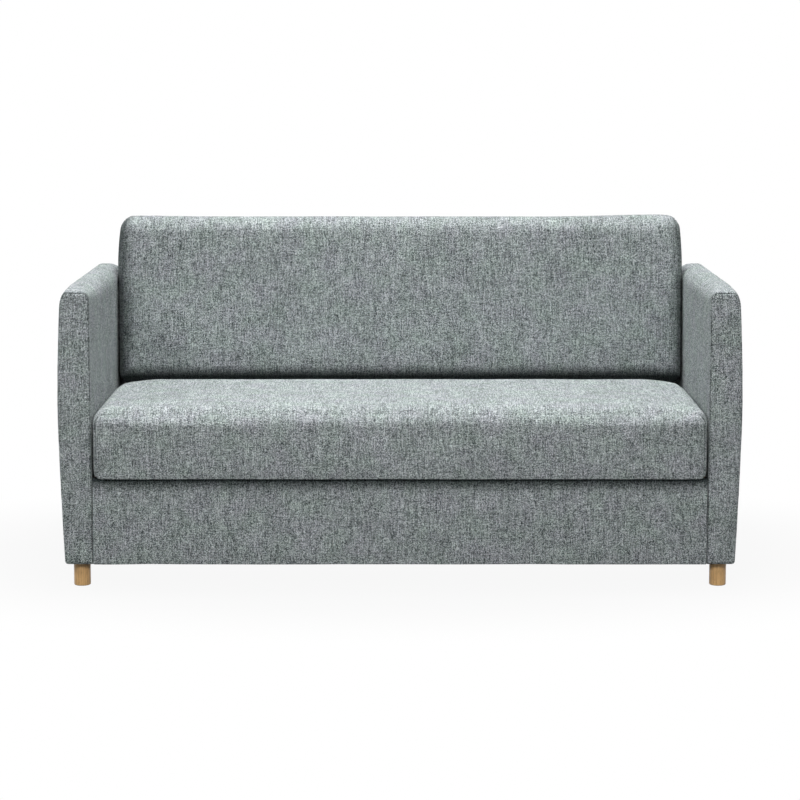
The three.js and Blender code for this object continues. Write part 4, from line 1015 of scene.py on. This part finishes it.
def bulge_cushion(place, low, high):
    """Fills the sides out, draws them in towards the top, and lifts the top, a little more at the right."""
    share = rising(place[:, 1], low[1], high[1] - low[1])
    across = place[:, 0] / high[0]
    full = np.sin(math.pi * rising(share, *CUSHION_BULGE_SPAN))
    draw = rising(share, *CUSHION_DRAW_SPAN) ** CUSHION_DRAW_POWER
    outward = CUSHION_SIDE_BULGE * full - CUSHION_HEAD_DRAW * draw
    place[:, 0] += across * np.abs(across) ** 3 * outward
    head = rising(share, *CUSHION_WAVE_SPAN)
    at_right = np.exp(-(((across - CUSHION_RIGHT_PLACE) / CUSHION_RIGHT_WIDTH) ** 2))
    place[:, 1] += head * CUSHION_TOP_WAVE * (CUSHION_LIFT + CUSHION_RIGHT_LIFT * at_right)


def frame_pocket(turn, prefix):
    """Space of a section's steel frame, in the section's own frame: its two corners and its ceiling."""
    rail_low, rail_high = local_box(f"{prefix}_left_rail", turn)
    side = local_box(f"{prefix}_right_rail", turn)[1][0] + POCKET_ROOM
    ceiling = local_box(f"{prefix}_slat_3", turn)[1][2] + POCKET_FIT
    return (-side, rail_low[1] - POCKET_ROOM), (side, rail_high[1] + POCKET_ROOM), ceiling


def make_section_pad(node, prefix, cap, seed):
    """A pad of a section, made in the section's own frame."""
    turn, end = SECTIONS[prefix]
    is_cushion = node == "back_cushion"
    low, high = local_box(node, turn)
    low = low + (SECTION_SWELL, 0.0, 0.0)
    high = high - (SECTION_SWELL, 0.0, SECTION_CROWN)
    if node == "rear_mattress":
        low[1] = REAR_END_EASE - SECTION_REACH
    if is_cushion:
        high[1] = SECTION_REACH
    pad = soft_box(
        f"{node}_cover", low, high, SECTION_ROUND, SECTION_CROWN, SECTION_SWELL,
        turn=turn, warp=section_warp(low, high, end, is_cushion), pocket=frame_pocket(turn, prefix),
        cap=cap, seed=seed, zone=CUSHION_FOOT_ROUND, painted_shade_ends=PAINTED_SHADE_ENDS.get(node, ()),
    )
    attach(pad, prefix)
    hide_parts(node)


make_section_pad("back_cushion", "front_section", cap=CLOTH_CAP, seed=5)
make_section_pad("lower_back_pad", "front_section", cap=0.0, seed=6)
make_section_pad("rear_mattress", "rear_section", cap=CLOTH_CAP, seed=7)


# Front panel under the seat and valance at the rear

for node, body in (("front_panel", "seat_carriage"), ("rear_valance", "base")):
    panel_low, panel_high = (np.array(corner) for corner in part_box(node))
    if node == "front_panel":
        panel_low[0] -= PANEL_SPREAD
        panel_high[0] += PANEL_SPREAD
    panel = soft_box(
        f"{node}_cover", panel_low, panel_high, PANEL_ROUND, crown=0.0, swell=0.0, cell=PANEL_CELL, seed=8,
        seamed=False, zone=PANEL_SHADE_REACH, painted_shade_ends=PAINTED_SHADE_ENDS.get(node, ()),
    )
    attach(panel, body)
    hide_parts(node)


# Turned oak legs

def make_leg(name, node):
    """A round leg, turned from its profile: a rounded foot, straight sides and a flat top."""
    low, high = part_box(node)
    centre = (low + high) / 2
    radius = (high.x - low.x) / 2
    profile = [(0.0, low.z), (radius - LEG_ROUND, low.z)]
    for angle in np.radians(90 * ROUND_SHARES):
        out = radius - LEG_ROUND + LEG_ROUND * math.sin(angle)
        profile.append((out, low.z + LEG_ROUND * (1 - math.cos(angle))))
    for share in LEG_RINGS:
        profile.append((radius, low.z + share * (high.z - low.z)))
    profile.append((radius - LEG_TOP_DRAW, high.z))
    profile.append((0.0, high.z))
    points, faces = [], []
    for r, z in profile:
        for k in range(LEG_SIDES):
            angle = 2 * math.pi * k / LEG_SIDES
            points.append((centre.x + r * math.cos(angle), centre.y + r * math.sin(angle), z))
    for i in range(len(profile) - 1):
        lower, upper = i * LEG_SIDES, (i + 1) * LEG_SIDES
        for k in range(LEG_SIDES):
            n = (k + 1) % LEG_SIDES
            faces.append((lower + k, lower + n, upper + n, upper + k))
    leg = make_mesh(name, points, faces, materials=(OAK,))
    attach(leg, "base")
    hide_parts(node)


for end in ("front", "rear"):
    for word in ("left", "right"):
        make_leg(f"{end}_{word}_oak_leg", f"{end}_{word}_leg")


# CAD pieces that stay get their own finish

slot_of_node = {row["node"]: row["material_slot"] for row in frame["record"]["subparts"]}
for node, thing in frame["nodes"].items():
    for material_slot in thing.material_slots:
        material_slot.material = MATERIAL_OF_NODE.get(node, MATERIAL_OF_SLOT[slot_of_node[node]])


# Floor, light and camera

def stage_floor():
    """A white floor that keeps a faint shadow and fades into the white surroundings."""
    g = Graph("studio_floor")
    place = g.scaled(g.add("ShaderNodeNewGeometry").outputs["Position"], FLOOR_STRETCH)
    distance = g.add("ShaderNodeVectorMath", {0: place}, operation="LENGTH").outputs["Value"]
    span = {"Value": distance, "From Min": FLOOR_FADE[0], "From Max": FLOOR_FADE[1]}
    fade = g.add("ShaderNodeMapRange", span, interpolation_type="SMOOTHSTEP").outputs["Result"]
    rays = g.add("ShaderNodeLightPath").outputs
    mirrored = g.math("MAXIMUM", rays["Is Glossy Ray"], rays["Is Transmission Ray"])
    seen = g.math("MAXIMUM", rays["Is Camera Ray"], mirrored)
    lit = g.add("ShaderNodeBsdfDiffuse", {"Color": (FLOOR_SHADE,) * 3 + (1.0,)}).outputs[0]
    white = g.add("ShaderNodeEmission", {"Color": WHITE, "Strength": 1.0}).outputs[0]
    share = g.math("MULTIPLY", seen, g.mix(fade, FLOOR_WHITE, 1.0))
    shader = g.add("ShaderNodeMixShader", {0: share, 1: lit, 2: white}).outputs[0]
    g.tree.links.new(shader, g.output.inputs["Surface"])
    bpy.ops.mesh.primitive_plane_add(size=FLOOR_SIZE, location=(0.0, 0.0, 0.0))
    floor = bpy.context.object
    floor.name = "studio_floor"
    floor.data.materials.append(g.material)


def stage_world():
    """Soft white surroundings: white where they are seen, dimmer as light."""
    world = bpy.data.worlds.new("studio")
    bpy.context.scene.world = world
    world.use_nodes = True
    tree = world.node_tree
    tree.nodes.clear()
    rays = tree.nodes.new("ShaderNodeLightPath").outputs
    seen = rays["Is Camera Ray"]
    for kind in ("Is Glossy Ray", "Is Transmission Ray"):
        either = tree.nodes.new("ShaderNodeMath")
        either.operation = "MAXIMUM"
        tree.links.new(seen, either.inputs[0])
        tree.links.new(rays[kind], either.inputs[1])
        seen = either.outputs[0]
    mix = tree.nodes.new("ShaderNodeMixShader")
    tree.links.new(seen, mix.inputs[0])
    for k, (colour, strength) in enumerate(((WORLD_TINT, WORLD_LIGHT), (WHITE, 1.0))):
        background = tree.nodes.new("ShaderNodeBackground")
        background.inputs["Color"].default_value = colour
        background.inputs["Strength"].default_value = strength
        tree.links.new(background.outputs[0], mix.inputs[1 + k])
    output = tree.nodes.new("ShaderNodeOutputWorld")
    tree.links.new(mix.outputs[0], output.inputs["Surface"])


stage_floor()
stage_world()
for name, place, size, power in LAMPS:
    lamp = bpy.data.lights.new(name, "AREA")
    lamp.shape = "RECTANGLE"
    lamp.size, lamp.size_y = size
    lamp.energy = power
    thing = bpy.data.objects.new(name, lamp)
    thing.location = place
    thing.rotation_euler = (LAMP_AIM - Vector(place)).to_track_quat("-Z", "Y").to_euler()
    bpy.context.scene.collection.objects.link(thing)

camera_data = bpy.data.cameras.new("camera")
camera_data.sensor_width = SENSOR * 1000
camera_data.lens = CAMERA_LENS * 1000
camera = bpy.data.objects.new("camera", camera_data)
camera.location = (0.0, ARM_LOW[1] - CAMERA_DISTANCE, CAMERA_HEIGHT)
camera.rotation_euler = (math.pi / 2 - CAMERA_PITCH, 0.0, 0.0)
bpy.context.scene.collection.objects.link(camera)
bpy.context.scene.camera = camera
bpy.context.scene.view_settings.view_transform = "Standard"
